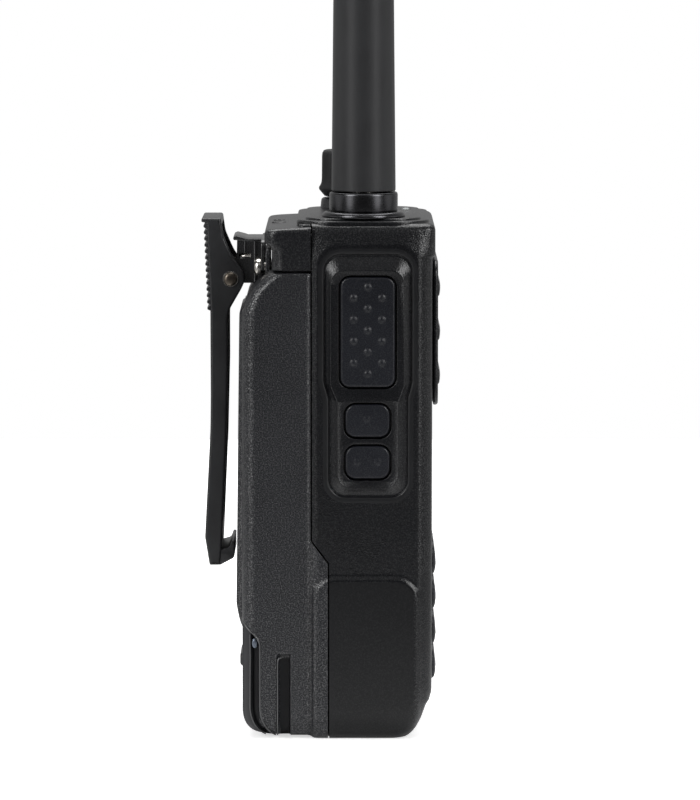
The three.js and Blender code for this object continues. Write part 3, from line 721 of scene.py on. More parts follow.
def mound_band():
    """The smooth band round the mound, from the land down into the crease."""
    outer = mound_outline(3.85, -19.45, 116.25, 82.9, 2.75, -18.45, 56.4, 5.4, 5.4)
    inner = mound_outline(2.45, -18.05, 114.85, 82.9, 1.35, -17.05, 57.8, 4.0, 4.0)
    levels = [(0, -0.5), (0, 0.0), (0.3, 0.025), (0.75, 0.01), (0.9, -0.1), (1.06, -0.4), (1.06, -0.6)]
    loops = between(outer, inner, levels)
    verts, faces = skin(loops + [loops[0]])
    band = on_left((verts * np.array((-1, 1, 1)), faces))
    piece("mound_band", band, SMOOTH, "radio", sharp=50)


cover_shell()
mound_piece()
mound_band()


# ---------------------------------------------------------------- talk button and side keys
def dimples(spots, radius, height):
    def crown(u, v):
        lift = 0
        for spot_u, spot_v in spots:
            d = np.hypot(u - spot_u, v - spot_v) / radius
            lift = lift + height * np.clip(1 - d * d, 0, 1) ** 1.15
        return lift

    return crown


def dome(width, height, rise):
    return lambda u, v: rise * (1 - (2 * u / width) ** 2) * (1 - (2 * v / height) ** 2)


def talk_button():
    spots = [(0, 0.5 + (i - 2) * 5.07) for i in range(5)]
    spots += [(side * 3.3, 0.5 + (i - 1.5) * 5.07) for side in (-1, 1) for i in range(4)]
    beads, crowned = dimples(spots, 0.95, 0.34), dome(*TALK_SIZE, 0.14)
    face = pad(*TALK_SIZE, 2.2, 26.9, 28.5, 0.55, lambda u, v: crowned(u, v) + beads(u, v), step=0.24)
    part = on_left(moved(face, *TALK[1:]))
    piece("talk_button_cap", part, KEYS, "talk", ["talk_button"], sharp=60)


def side_key(name, place, spots):
    beads, crowned = dimples(spots, 0.95, 0.2), dome(*KEY_SIZE, 0.12)
    face = pad(*KEY_SIZE, 2.4, 26.9, 28.35, 0.5, lambda u, v: crowned(u, v) + beads(u, v), step=0.22)
    cap = on_left(moved(face, *place[1:]))
    piece(f"side_key_cap_{name}", cap, KEYS, f"{name}_key", [f"side_key_{name}"], sharp=60)


talk_button()
side_key("upper", UPPER, [(0.1, 0.5)])
side_key("lower", LOWER, [(-2.4, 0.2), (2.4, 0.2)])


# ---------------------------------------------------------------- front panel
KEY_LABELS = "1 2 3 menu 4 5 6 up 7 8 9 down star 0 hash back".split()
SPEAKER_Z, DISPLAY_Z = middle("speaker_mesh")[2], middle("display_lens")[2]
KEY_HIGH, KEY_FACE = 7.1, 23.3


def front_panel():
    """One inlaid panel over the speaker, the display and the keypad."""
    outline = rounded(box_corners(0, 61.9, 46.8, 102.6, 4.5), steps=10, spacing=3.0)
    face = 22.92
    holes = [(rounded(box_corners(0, SPEAKER_Z, 41.6, 31.8, 3.4), steps=8), soft_hole(face, 21.0, 0.3))]
    holes.append((rounded(box_corners(0, DISPLAY_Z, 44.3, 28.3, 2.1), steps=8), soft_hole(face, 21.0, 0.15)))
    for label in KEY_LABELS:
        x, _, z = middle(f"key_{label}")
        hole = rounded(box_corners(x, z, 10.8, KEY_HIGH + 0.6, 2.4), steps=6)
        holes.append((hole, soft_hole(face, 21.0, 0.15)))
    panel = on_front(carved(outline, soft_edge(21.0, face, 0.3), holes))
    piece("front_panel", panel, COVER, "radio", sharp=50)


def bar_crown(u, v):
    return 0.35 * (1 - (v / 1.95) ** 2) * (1 - (u / 18.7) ** 8)


def speaker_grille():
    rim = rounded(box_corners(0, SPEAKER_Z, 44.0, 34.4, 4.6), steps=10)
    mouth = rounded(box_corners(0, SPEAKER_Z, 39.6, 30.2, 2.8), steps=10)
    wall = [(-0.8, 21.8), (-0.8, 23.1), (-0.15, 23.25), (0, 23.4), (0, 23.8), (-0.15, 24.1), (-0.45, 24.3)]
    bezel = carved(rim, wall, [(mouth, soft_hole(24.3, 21.2, 0.9))])
    slot_lines = [rounded(box_corners(0, SPEAKER_Z + z, 35, 2.6, 1.1)) for z in (-5.2, 5.2)]
    slots = [(line, soft_hole(22.3, 21.2, 0.2)) for line in slot_lines]
    floor = carved(rounded(box_corners(0, SPEAKER_Z, 41, 31.5, 3)), [(0, 21.2), (0, 22.3)], slots)
    parts = [on_front(bezel), on_front(floor)]
    for z in (-10.4, 0, 10.4):
        foot = pad(39.4, 6.6, 1.4, 21.4, 24.3, 0.5, step=1.5)
        bar = pad(37.4, 3.9, 1.2, 23.4, 24.62, 0.5, bar_crown)
        parts += [on_front(moved(foot, 0, SPEAKER_Z + z)), on_front(moved(bar, 0, SPEAKER_Z + z))]
    piece("speaker_bars", parts, COVER, "radio", sharp=50)
    weave = carved(rounded(box_corners(0, SPEAKER_Z, 37.4, 14.8, 1)), [(0, 20.65), (0, 21.3)])
    piece("speaker_cloth", on_front(weave), RUBBER, "radio", ["speaker_mesh"])


def display():
    glass = pad(43.8, 27.8, 1.9, 21.95, 22.78, 0.2, step=3)
    piece("display_glass", on_front(moved(glass, 0, DISPLAY_Z)), WINDOW, "radio", ["display_lens"])


def label_mesh(text, size, name):
    curve = bpy.data.curves.new(name, "FONT")
    curve.body = text
    curve.size = size * MM
    curve.align_x, curve.align_y = "CENTER", "CENTER"
    curve.extrude = 0.05 * MM
    curve.resolution_u = 4
    holder = linked(name, curve)
    bpy.context.view_layer.update()
    mesh = bpy.data.meshes.new_from_object(holder)
    bpy.data.objects.remove(holder)
    return mesh


def symbol(label):
    """The print on a key, as (u, v) triangles or bars for the ones that aren't plain characters."""
    if label in ("up", "down"):
        way = 1 if label == "up" else -1
        return [[(-1.3 * way, -0.8 * way), (1.3 * way, -0.8 * way), (0, 1.0 * way)]]
    if label == "back":
        return [[(-1.2, 0), (0.9, -1.2), (0.9, 1.2)]]
    return [[(-1.3, v - 0.18), (1.3, v - 0.18), (1.3, v + 0.18), (-1.3, v + 0.18)] for v in (-0.9, 0, 0.9)]


def key_print(label, x, z):
    """A key's print as a thin raised mesh on its face."""
    if label in ("up", "down", "back", "menu"):
        flats = [rounded([(u, v, 0) for u, v in shape]) for shape in symbol(label)]
        verts, faces = merged([carved(flat, [(0, -0.05), (0, 0.05)]) for flat in flats])
    else:
        mesh = label_mesh({"star": "*", "hash": "#"}.get(label, label), 4.4, f"key_print_{label}")
        verts = np.array([v.co for v in mesh.vertices]) / MM
        verts[:, :2] -= (verts[:, :2].min(0) + verts[:, :2].max(0)) / 2
        faces = [tuple(p.vertices) for p in mesh.polygons]
        bpy.data.meshes.remove(mesh)
    lift = KEY_FACE + 0.03 + key_crown(verts[:, 0], verts[:, 1])
    return on_front((np.column_stack((verts[:, 0] + x, verts[:, 1] + z, verts[:, 2] + lift)), faces))


def key_crown(u, v):
    """Highest below its middle, so that each row stands over the one under it."""
    rise = np.where(v > -1.2, (v + 1.2) / 4.75, (v + 1.2) / 2.35)
    return 0.6 * (1 - rise ** 2) * (1 - (u / 5.7) ** 4)


def keypad():
    for label in KEY_LABELS:
        x, _, z = middle(f"key_{label}")
        cap = pad(10.2, KEY_HIGH, 2.2, 21.9, KEY_FACE, 0.5, key_crown, step=0.7)
        body = f"key_{label}"
        piece(f"key_cap_{label}", on_front(moved(cap, x, z)), KEYS, body, [body], sharp=60)
        piece(f"key_print_{label}", key_print(label, x, z), INK, body)


front_panel()
speaker_grille()
display()
keypad()


# ---------------------------------------------------------------- top
ANTENNA = middle("antenna_collar")[:2]
STATUS = middle("status_light")[:2]
DIALS = {name: middle(f"{name}_knob")[:2] for name in ("volume", "channel")}


def top_bezel():
    centre_y = -6.7
    base = rounded(box_corners(0, centre_y, 51.6, 31.2, 9.2), steps=14, spacing=2.5)
    mid = rounded(box_corners(0, centre_y, 47.4, 27.2, 7.6), steps=14, spacing=2.5)
    bores = []
    for place, size, steps, soft in (
        (ANTENNA, 8.8, 8, 0.1), (DIALS["volume"], 9.2, 8, 0.1), (DIALS["channel"], 9.2, 8, 0.1),
        (STATUS, 2.6, 6, 0.2),
    ):
        line = rounded(box_corners(*place, size, size, size / 2 - 0.01), steps=steps)
        bores.append((line, soft_hole(123.0, 121.4, soft)))
    parts = [carved(base, soft_edge(121.4, 122.5, 0.45)), carved(mid, soft_edge(122.2, 123.0, 0.4), bores)]
    for place in DIALS.values():
        collar = [(4.7, 122.6), (7.2, 122.6), (7.0, 124.7), (6.85, 125.1), (6.5, 125.35), (4.7, 125.35)]
        collar.append(collar[0])
        parts.append(moved(lathe(collar, 72), *place))
    piece("top_plate", parts, COVER, "radio", ["top_bezel"], sharp=45)
    lens = lathe([(0, 121.5), (1.05, 121.5), (1.05, 123.0), (0.8, 123.25), (0.4, 123.36), (0, 123.4)], 32)
    piece("status_lens", moved(lens, *STATUS), PIPE, "radio", ["status_light"])


def antenna():
    sleeve = [(0, 133), (3.4, 133), (3.4, 129.15), (7.4, 129.15), (7.5, 129.2), (7.55, 129.3), (7.55, 129.45)]
    sleeve += [(7.55 + (6.72 - 7.55) * t, 129.5 + (216.6 - 129.5) * t) for t in np.linspace(0.02, 1, 14)]
    for turn in np.radians(np.linspace(8, 90, 11)):
        radius = 2.82 + 3.9 * math.cos(turn) if turn < 1.5 else 2.6
        sleeve.append((radius, 216.6 + 3.9 * math.sin(turn)))
    sleeve += [(1.3, 220.75), (0, 220.85)]
    rubber = moved(lathe(sleeve, 112), *ANTENNA)
    piece("antenna_cover", rubber, SLEEVE, "radio", ["antenna_sleeve"], sharp=60)
    ring = [(3.6, 124.2), (7.75, 124.2), (8.0, 124.4), (8.06, 124.8), (8.06, 128.2), (7.98, 128.55)]
    ring += [(7.8, 128.75), (7.5, 128.85), (3.6, 128.85), (3.6, 124.2)]
    ring = moved(lathe(ring, 112), *ANTENNA)
    piece("antenna_ring", ring, COLLAR, "radio", ["antenna_collar"], sharp=60)
    seal = [(4.7, 122.8), (9.5, 122.8), (9.75, 123.1), (9.75, 123.4), (9.55, 123.85), (9.1, 124.2)]
    seal += [(8.7, 124.3), (4.7, 124.3), (4.7, 122.8)]
    seal = moved(lathe(seal, 96), *ANTENNA)
    piece("antenna_seal", seal, COLLAR, "radio", ["antenna_gasket"], sharp=60)


def knob(body, wide):
    """A fluted grip on a flared skirt, with a raised pointer."""
    around, lobes = 160, 10
    angles = np.linspace(0, 2 * math.pi, around, endpoint=False)
    flute = 0.5 - 0.5 * np.cos(angles * lobes)
    levels = [
        (4.6, 125.7, 0), (5.7, 125.7, 0), (6.2, 125.8, 0), (7.45, 127.3, 0), (7.55, 127.6, 0),
        (7.5, 127.95, 0), (7.2, 128.5, 0.1), (7.08, 129.3, 0.6), (7.05, 130.2, 1), (7.02, 133, 1),
        (7.0, 135.6, 1), (6.9, 136.2, 1), (6.55, 136.75, 0.9), (5.9, 136.97, 0.6), (5.2, 137.0, 0.2),
        (4.4, 137.0, 0), (4.1, 136.8, 0), (0.0, 136.8, 0),
    ]
    loops = [circle(radius, height, angles) for radius, height in ((0, 133.2), (3.1, 133.2), (3.1, 125.7))]
    for radius, height, share in levels:
        loops.append(circle(wide * radius - 0.45 * share * flute ** 1.5, height, angles))
    pointer = moved(pad(0.7, 3.4, 0.3, 136.6, 137.0, 0.12, step=0.5), 0, 4.3)
    dial = moved(merged([skin(loops), pointer]), *DIALS[body])
    piece(f"{body}_dial", dial, RUBBER, body, [f"{body}_knob"])


top_bezel()
antenna()
knob("volume", 0.93)
knob("channel", 1.0)


# ---------------------------------------------------------------- chassis
def chassis():
    sections = [(110.9, 27.1, -14.7, -5.6, 2.4, size) for size in (0.0, 0.6)]
    sections.append((110.9, 27.15, -14.45, -5.6, 2.9, 1))
    rise = [(111.15, 14.7), (113, 14.7), (115.6, 14.7), (116.1, 14.9), (116.7, 15.5), (117.2, 16.1)]
    for z, back in rise + [(117.7, 16.4)]:
        sections.append((z, 27.4, -back, -5.6, 2.9, 1))
    for turn in np.radians(np.linspace(0, 90, 7)):
        inset = 1.1 * (1 - math.cos(turn))
        sections.append((119.5 + 1.1 * math.sin(turn), 27.4 - inset, -16.4 + inset, -5.6, 2.9, 1))
    sections += [(120.6, 26.3, -15.3, -5.6, 2.9, size) for size in (0.6, 0.0)]
    marks = -graded([(5.6, 0.9), (14.0, 1)])
    verts, faces = tub(sections, marks, 8, 20, 1.8, lambda x, y, z, nx, ny: np.zeros(len(x)))
    verts = verts * np.array((1, -1, 1))
    top = verts[:, 2] > 119
    verts[top, 2] += (16.4 - verts[top, 1]) * 0.05
    plate_line = rounded([
        (1.6, 0.05, 0), (1.6, 42.1, 0.6), (5.58, 47.3, 0.6), (5.58, 119.2, 0),
        (2.6, 119.2, 0), (2.6, 48.4, 0.6), (-1.4, 43.2, 0.6), (-1.4, 0.05, 0),
    ])
    plate_verts, plate_faces = bar_x(plate_line, 24.9, 0.3)
    low = plate_verts[:, 2] < 8
    squeeze = np.sqrt(np.clip(1 - ((8 - plate_verts[:, 2]) / 8) ** 2 * 0.22, 0, 1))
    plate_verts[:, 0] = np.where(low, plate_verts[:, 0] * squeeze, plate_verts[:, 0])
    bridge = on_back(moved(pad(50, 8.4, 1, 4.6, 8.0, 0.3, step=4), 0, 115.4))
    shelf = moved(pad(48.6, 3.6, 1.2, 119.0, 121.65, 0.5, step=3), 0, 6.6)
    loop_bar = along_x(lathe([(0, -3.9), (1.1, -3.9), (1.1, 3.9), (0, 3.9)], 24))
    parts = [(verts, faces), (plate_verts, plate_faces), bridge, shelf, moved(loop_bar, 0, 14.8, 118.9)]
    piece("cast_frame", parts, CAST, "radio", ["chassis"], sharp=45)
    slot = rounded(box_corners(0, 13.3, 9.0, 2.6, 1.25))
    edge = rounded(box_corners(0, 13.3, 9.8, 3.4, 1.65), steps=8)
    mouth = (slot, [(0.1, 120.95), (0, 120.85), (0, 120.3)])
    rim = carved(edge, [(0, 120.3), (0, 120.85), (-0.12, 120.95)], [mouth])
    piece("lanyard_rim", rim, CAST, "radio")
    pit = carved(slot, [(0, 120.2), (0, 120.78)])
    piece("lanyard_slot", pit, DARK, "radio")


chassis()


# ---------------------------------------------------------------- battery
def pack_back(z):
    heights = [0, 96.5, 99, 101.2, 103.1, 105.1, 106.8, 108.4, 109.8, 110.2, 110.5]
    return float(np.interp(z, heights, [21.8, 21.8, 21.75, 21.55, 21.1, 20.2, 19.1, 17.4, 15.8, 15.2, 14.4]))


def pack_mouth(z):
    return float(np.interp(z, [0, 42, 47.2, 130], [1.62, 1.62, 5.6, 5.6]))


def pack_relief(x, y, z, nx, ny):
    """The case is drawn facing -Y and mirrored afterwards, so its back is at negative y here."""
    back = -y
    wrap = side_relief(back, z)
    join = np.clip((back - 5.15) / 0.5, 0, 1)
    body = -0.45 + 0.05 * np.clip((back - 6.3) / 1.2, 0, 1)
    groove = -0.35 * np.exp(-(((back - 5.75) / 0.4) ** 2))
    side = wrap * (1 - join) + body * join + groove
    slot = slot_depth(back, z, 10.35, 13.9, 20.6, 1.1)
    return np.abs(nx) * (side - 1.7 * slot) - np.sqrt(np.abs(nx)) * corner_recess(back, z)


def eased(value):
    t = np.clip(value, 0, 1)
    return t * t * (3 - 2 * t)


def corner_recess(y, z):
    """The rear lower corner is set back from the side wall: a channel, then a shallower wing beside it."""
    edge, line = recess_edge(y, z)
    inward = np.minimum(y - edge, (line - z) * 0.9)
    return eased(inward / 0.5) * (2.2 - 1.2 * eased((y - edge - 2.0) / 0.6))


def recess_edge(y, z):
    """Where the corner recess starts: its forward edge at height z and its upper edge at depth y."""
    bend = np.clip((8 - z) / 8.2, 0, 1)
    forward = 17.75 - 6.4 * (1 - np.sqrt(1 - bend ** 2))
    return forward, 23.2 + 1.18 * (y - 17.7) + 0.4 * np.exp(-(((y - 18.7) / 0.6) ** 2))


def slot_depth(y, z, near, far, top, lean):
    """0 to 1 inside a slot open at the bottom: a steep wall at near, a leaning wall of width lean at far."""
    return eased((y - near) / 0.4) * eased((far - y) / lean) * eased((top - z) / 0.8)


def in_recess(x, y, z):
    """True on the set-back floors of the corner recess and of the guide slot, which are painted darker as
    shade.
    """
    edge, line = recess_edge(y, z)
    recess = y > edge + 0.35 and z < line - 0.4
    slot = 10.6 < y < 12.9 and z < 19.4
    return abs(x) > 19 and z > 0.8 and (recess or slot)


def battery_case():
    sections = [(0, SIDE - FOOT_INSET, -14.6, -1.62, 3.4, size) for size in (0.0, 0.5, 0.9)]
    for t in np.linspace(1, 0, 15):
        z, inset = foot_curve(t, 7.5, FOOT_INSET)
        _, tuck = foot_curve(t, 7.5, 7.2)
        sections.append((z, SIDE - inset, -21.8 + tuck, -1.62, 3.4, 1))
    for z in graded([(7.9, 0.5), (19, 0.3), (28, 0.45), (48, 1.6), (97, 0.7), (110.1, 1)]):
        sections.append((z, SIDE, -pack_back(z), -pack_mouth(z), 3.4, 1))
    sections.append((110.35, SIDE - 0.15, -15.0, -5.6, 3.4, 1))
    sections += [(110.5, SIDE - 0.5, -14.5, -5.6, 3.4, size) for size in (1, 0.9, 0.5, 0.0)]
    marks = -graded([(1.62, 0.2), (2.8, 0.3), (6.8, 0.6), (9.8, 0.2), (18.4, 1)])
    verts, faces = tub(sections, marks, 18, 14, 2.0, pack_relief)
    verts = verts * np.array((1, -1, 1))
    rear = np.clip((verts[:, 1] - 5.0) / 1.4, 0, 1)
    verts[:, 2] += 0.55 * rear * np.clip(1 - verts[:, 2] / 7, 0, 1)
    case = (verts, faces)
    shell = piece("battery_shell", case, PACK, "battery", ["battery_case"], sharp=50)
    # The recess and slot floors get a darker colour: painted shade.
    painted(shell, SHADE, in_recess)
    # The wing beside the channel gets a lighter painted shade.
    painted(shell, WING_SHADE, lambda x, y, z: in_recess(x, y, z) and y > recess_edge(y, z)[0] + 2.1)


def fine_lips():
    """The rounded rims of the corner recess, of its wing and of the guide slot, in a lighter colour that
    paints a highlight line along them.
    """
    rim = []
    top = [(21.7, 27.95), (21.1, 27.2), (20.4, 26.4), (19.6, 25.6), (18.9, 24.95), (18.4, 24.35)]
    for y, z in top + [(17.95, 23.6)]:
        past = y - (pack_back(z) - 3.4)
        rim.append((27.06 - 3.4 + math.sqrt(3.4 ** 2 - max(past, 0) ** 2), y, z + 0.1))
    rim.append((27.06, 17.65, 22.6))
    wing = [(26.0, 20.0, 25.0), (26.0, 19.9, 20.0)]
    slot = [(27.0, 12.5, 19.6), (27.06, 13.1, 19.5), (27.06, 13.42, 19.0), (27.06, 13.5, 18.0)]
    slot.append((27.04, 13.5, 12.0))
    for t in np.linspace(0, 0.72, 12):
        z, inset = foot_curve(t, 7.5, FOOT_INSET)
        edge = recess_edge(20, z)[0]
        rim.append((27.06 - inset, edge - 0.1, z + 0.45 * t))
        wing.append((26.0 - inset, edge + 2.25, z + 0.45 * t))
        slot.append((27.06 - inset, 13.5, z + 0.45 * t))
    parts = []
    for side in (-1, 1):
        for path, thick in ((rim, 0.17), (wing, 0.13), (slot, 0.17)):
            parts.append(tube([(side * x, y, z) for x, y, z in path], thick, 12))
    piece("battery_rims", parts, RIM_HIGHLIGHT, "battery", sharp=60)


def lean(z):
    return 0.72 + 0.86 * (100.5 - z) / 70


def back_panel():
    """The raised panel on the pack's back leans out towards its foot."""
    outline = rounded(box_corners(0, 63.2, 39, 74.8, 3), steps=8, spacing=1.5)
    edge = [(1.2, -0.8), (1.0, -0.02), (0.55, 0.1), (0.15, 0.8), (0, 0.92), (-0.3, 1.0)]
    verts, faces = carved(outline, edge)
    taper = np.clip((verts[:, 1] - 25.2) / 6.4, 0, 1) ** 0.7
    height = verts[:, 2] * np.where(verts[:, 2] > 0, lean(verts[:, 1]) * taper, 1)
    shaped = np.column_stack((verts[:, 0], 21.75 + height, verts[:, 1]))
    tongue = on_back(moved(pad(28, 10.6, 1.9, 15.42, 16.38, 0.3, step=4), 0, 110))
    piece("battery_panel", [(shaped, faces), tongue], PACK, "battery", sharp=45)


def latch():
    plate = moved(pad(17.4, 15.2, 1.2, 20.9, 21.75, 0.25, step=2), 0, 16.9)
    grip = moved(pad(15.4, 3.2, 1.2, 21.3, 22.75, 0.7, step=0.8), 0, 16.1)
    ribs = [moved(pad(12.5, 0.7, 0.3, 21.5, 21.98, 0.15, step=1), 0, 20 + i * 1.5) for i in range(3)]
    parts = [on_back(part) for part in [plate, grip] + ribs]
    piece("battery_catch", parts, CLIP, "latch", ["battery_latch"], sharp=45)


def charge_contacts():
    for name, side, place in (("left", -1, on_left), ("right", 1, on_right)):
        stud = lathe([(0, 25.3), (0.85, 25.3), (0.85, 26.25), (0.7, 26.42), (0.4, 26.5), (0, 26.52)], 32)
        stud = (stud[0] * np.array((0.85, 1.35, 1)), stud[1])
        _, y, z = middle(f"charge_contact_{name}")
        part = place(moved(stud, y, z))
        piece(f"charge_pad_{name}", part, TIN, "battery", [f"charge_contact_{name}"])


battery_case()
fine_lips()
back_panel()
latch()
charge_contacts()


# ---------------------------------------------------------------- belt clip
PIN_Y, PIN_Z = middle("clip_pin")[1:]
SCREW_X, SCREW_Z = 11.0, 110.7


def clip_arm():
    body_line = rounded([
        (29.55, 100.0, 1), (30.45, 121.1, 0.1), (31.6, 121.3, 0.3), (31.6, 122.25, 0.45),
        (27.0, 122.25, 0.5), (26.4, 118, 6), (24.3, 113.2, 12), (22.0, 110.2, 3.5), (21.2, 107.6, 2.6),
        (22.2, 105.4, 4), (24.9, 100.7, 4), (25.35, 98.9, 4), (25.35, 88, 60), (25.8, 70, 60),
        (26.9, 44.7, 2), (27.3, 39.35, 0.4), (29.9, 39.35, 0.35), (30.98, 46.1, 4), (29.6, 72, 80),
        (29.5, 80, 80),
    ], steps=4)
    hook_line = rounded([
        (29.0, 42.5, 0.3), (25.2, 43.6, 0.9), (24.65, 45.2, 0.12), (23.95, 45.2, 0.15), (23.95, 41.2, 0.9),
        (27.3, 39.4, 0.4), (29.0, 39.4, 0.3),
    ], steps=4)
    lever = bar_x(body_line, 10.7, 0.65, 6)
    arm = piece("clip_lever", lever, CLIP, "clip", ["clip_arm"], sharp=38)
    hollow = rounded([
        (15, 50, 0), (29.0, 50, 0.8), (28.0, 80, 0), (28.0, 99.0, 0), (29.2, 120.8, 0.8), (15, 120.8, 0),
    ])
    carve(arm, solid("hollow", bar_x(hollow, 8.9, 0.3)))
    parts = [bar_x(hook_line, 10.4, 0.2)]
    for i in range(14):
        y, z = 29.45 + i * 0.065, 100.2 + i * 1.5
        tooth = rounded([(y - 0.6, z, 0), (y, z, 0.1), (y + 0.75, z + 0.3, 0.25), (y + 0.85, z + 0.9, 0.3),
                         (y, z + 1.25, 0.1), (y - 0.6, z + 1.25, 0)], steps=3)
        parts.append(bar_x(tooth, 10.5, 0.25, 3))
    piece("clip_teeth", parts, CLIP, "clip", sharp=38)


def carve(target, *cutters):
    """Cuts the cutters out of the target's own mesh, then removes them."""
    for cutter in cutters:
        cut = target.modifiers.new("cut", "BOOLEAN")
        cut.operation = "DIFFERENCE"
        cut.solver = "EXACT"
        cut.object = cutter
    bpy.context.view_layer.update()
    graph = bpy.context.evaluated_depsgraph_get()
    mesh = bpy.data.meshes.new_from_object(target.evaluated_get(graph))
    target.modifiers.clear()
    target.data = mesh
    smoothed(mesh, 38)
    for cutter in cutters:
        bpy.data.objects.remove(cutter)


def bracket():
    """Bent sheet steel: a back plate with two ears, a lip along the top and a hooked tab."""
    plate_hole = [
        (rounded(box_corners(side * SCREW_X, SCREW_Z, 2.6, 2.6, 1.29), steps=6), soft_hole(17.45, 16.65, 0.1))
        for side in (-1, 1)
    ]
    plate_line = rounded(box_corners(0, 113.4, 26.8, 7.6, 1.6), steps=6)
    back_plate = on_back(carved(plate_line, soft_edge(16.65, 17.45, 0.2), plate_hole))
    ear_line = rounded([
        (17.0, 109.0, 0.2), (18.4, 106.7, 0.3), (23.3, 106.7, 0.8),
        (24.0, 105.5, 0.7), (26.8, 105.5, 1.4), (26.8, 110.1, 1.4), (24.2, 112.0, 0.8), (23.3, 112.7, 0.4),
        (23.2, 117.1, 0.35), (17.0, 117.1, 0.35),
    ], steps=5)
    slot_corners = [(19.95, 112.7), (22.75, 112.7), (22.75, 113.7), (19.95, 113.7)]
    slot_line = rounded([(y, z, 0.4) for y, z in slot_corners], steps=5)
    parts = [back_plate]
    for low in (7.4, -8.4):
        wall = [(-0.12, low), (0, low + 0.12), (0, low + 0.88), (-0.12, low + 1.0)]
        mouth = [(0.1, low + 1.0), (0, low + 0.9), (0, low + 0.1), (0.1, low)]
        parts.append(along_x(carved(ear_line, wall, [(slot_line, mouth)])))
    for side in (-8.25, 8.25):
        for y, radius, foot, top in ((18.9, 0.5, 107.0, 116.6), (21.3, 0.35, 113.9, 116.6)):
            fold = [(0, foot), (radius, foot), (radius, top), (0, top)]
            parts.append(moved(lathe(fold, 20), side, y))
    lip = rounded([
        (16.9, 116.5, 0.2), (21.2, 116.6, 0.3), (22.0, 116.75, 0.4), (24.0, 116.9, 0.2), (24.2, 117.5, 0.25),
        (23.4, 117.85, 0.3), (21.6, 117.4, 0.4), (20.9, 117.15, 0.4), (16.9, 117.15, 0.2),
    ])
    parts.append(bar_x(lip, 8.45, 0.15))
    piece("clip_frame", parts, BLACK_STEEL, "battery", ["clip_bracket"], sharp=35)


def pin():
    head = [(0, -11.75), (0.75, -11.72), (1.2, -11.6), (1.5, -11.4), (1.62, -11.15), (1.62, -10.9)]
    head.append((1.2, -10.8))
    profile = head + [(r, -h) for r, h in head[::-1]]
    rivet = moved(along_x(lathe(profile, 48)), 0, PIN_Y, PIN_Z)
    piece("clip_rivet", rivet, BRONZE, "battery", ["clip_pin"])
    ring = [(1.3, -11.0), (1.8, -11.0), (1.88, -10.9), (1.9, -10.7), (1.3, -10.7), (1.3, -11.0)]
    washers = merged([along_x(lathe([(r, side * h) for r, h in ring], 48)) for side in (1, -1)])
    piece("clip_washers", moved(washers, 0, PIN_Y, PIN_Z), NICKEL, "battery")


def spring():
    coil = []
    for t in np.linspace(0, 1, 200):
        turn = math.pi + t * 6.5 * 2 * math.pi
        coil.append(((t - 0.5) * 8, 1.95 * math.cos(turn), 1.95 * math.sin(turn)))
    leg = [(-8.1, -4.8, 5.4), (-8.1, -3.4, 5.4), (-8.1, -2.1, 5.4), (-7.4, -1.7, 5.0), (-5.4, -1.8, 2.4)]
    smooth = np.array(leg + coil)
    for _ in range(2):
        smooth[1:6] = (smooth[0:5] + smooth[1:6] * 2 + smooth[2:7]) / 4
    wire = moved(tube(smooth, 0.4), 0, PIN_Y, PIN_Z)
    piece("clip_coil", wire, NICKEL, "battery", ["clip_spring"])
    bar = tube([(x, 20.45, 113.2) for x in (-8.3, -3, 3, 8.3)], 0.4, 12)
    piece("clip_coil_bar", bar, NICKEL, "battery")


def clip_screws():
    head = [(0, 15.4), (1.1, 15.4), (1.1, 17.45), (1.95, 17.45), (2.08, 17.6), (2.1, 18.1)]
    head += [(1.98, 18.6), (1.65, 19.0), (1.1, 19.22), (0.5, 19.3), (0, 19.3)]
    for name, x in (("left", -SCREW_X), ("right", SCREW_X)):
        part = on_back(moved(lathe(head, 40), x, SCREW_Z))
        screw = piece(f"clip_bolt_{name}", part, NICKEL, "battery", [f"clip_screw_{name}"])
        arms = [pad(2.4, 0.5, 0.1, 18.4, 20.2, 0.05), pad(0.5, 2.4, 0.1, 18.45, 20.3, 0.05)]
        cutters = [solid(f"cross_{i}", on_back(moved(arm, x, SCREW_Z))) for i, arm in enumerate(arms)]
        carve(screw, *cutters)


clip_arm()
bracket()
pin()
spring()
clip_screws()


# ---------------------------------------------------------------- accessory flap and sockets
def flap():
    outline = box_corners(-8, 91.6, 12.4, 37.6, 2.5)
    plate = carved(rounded(outline, steps=8), [(-0.2, 27.72), (0, 27.9)] + soft_edge(28.2, 29.85, 0.6)[1:])
    rib = pad(7.5, 0.7, 0.3, 29.6, 29.9, 0.12, step=1)
    parts = [on_right(plate)] + [on_right(moved(rib, -8, 105.2 + 1.5 * i)) for i in range(3)]
    piece("socket_flap", parts, RUBBER, "flap", ["accessory_cover"], sharp=45)


def sockets():
    for name, z, radius in (("upper", 99, 1.75), ("lower", 87, 1.25)):
        ring = [(0, 25.4), (0.9, 25.4), (0.9, 27.2), (0.7, 27.38), (0.2, 27.42), (0, 27.3), (0, 25.4)]
        rim = on_right(moved(lathe([(radius + r, height) for r, height in ring], 48), -8, z))
        piece(f"socket_ring_{name}", rim, NICKEL, "radio")


flap()
sockets()


# ---------------------------------------------------------------- CAD nodes that stay, with their finishes
FINISHES = [
    (NICKEL, ["chassis_screw_left", "chassis_screw_right", "battery_terminals", "radio_terminals"]),
    (NICKEL, ["antenna_connector", "volume_shaft", "channel_shaft"]),
    (FOIL, ["speaker", "microphone", "display_module", "volume_control", "channel_encoder"]),
    (FOIL, ["battery_cell_left", "battery_cell_right"]),
    (BOARD, ["main_board", "battery_board"]),
    (RUBBER, ["keypad_mat"]),
    (DARK, ["jack_block"]),
    (PACK, ["battery_lid"]),
]
for finish, names in FINISHES:
    for node_name in names:
        node = nodes[node_name]
        node.data.materials.clear()
        node.data.materials.append(finish)
        soften = node.modifiers.new("soften", "BEVEL")
        soften.width = 0.15 * MM
        soften.segments = 2
        soften.limit_method = "ANGLE"
        soften.angle_limit = math.radians(40)
        soften.use_clamp_overlap = True


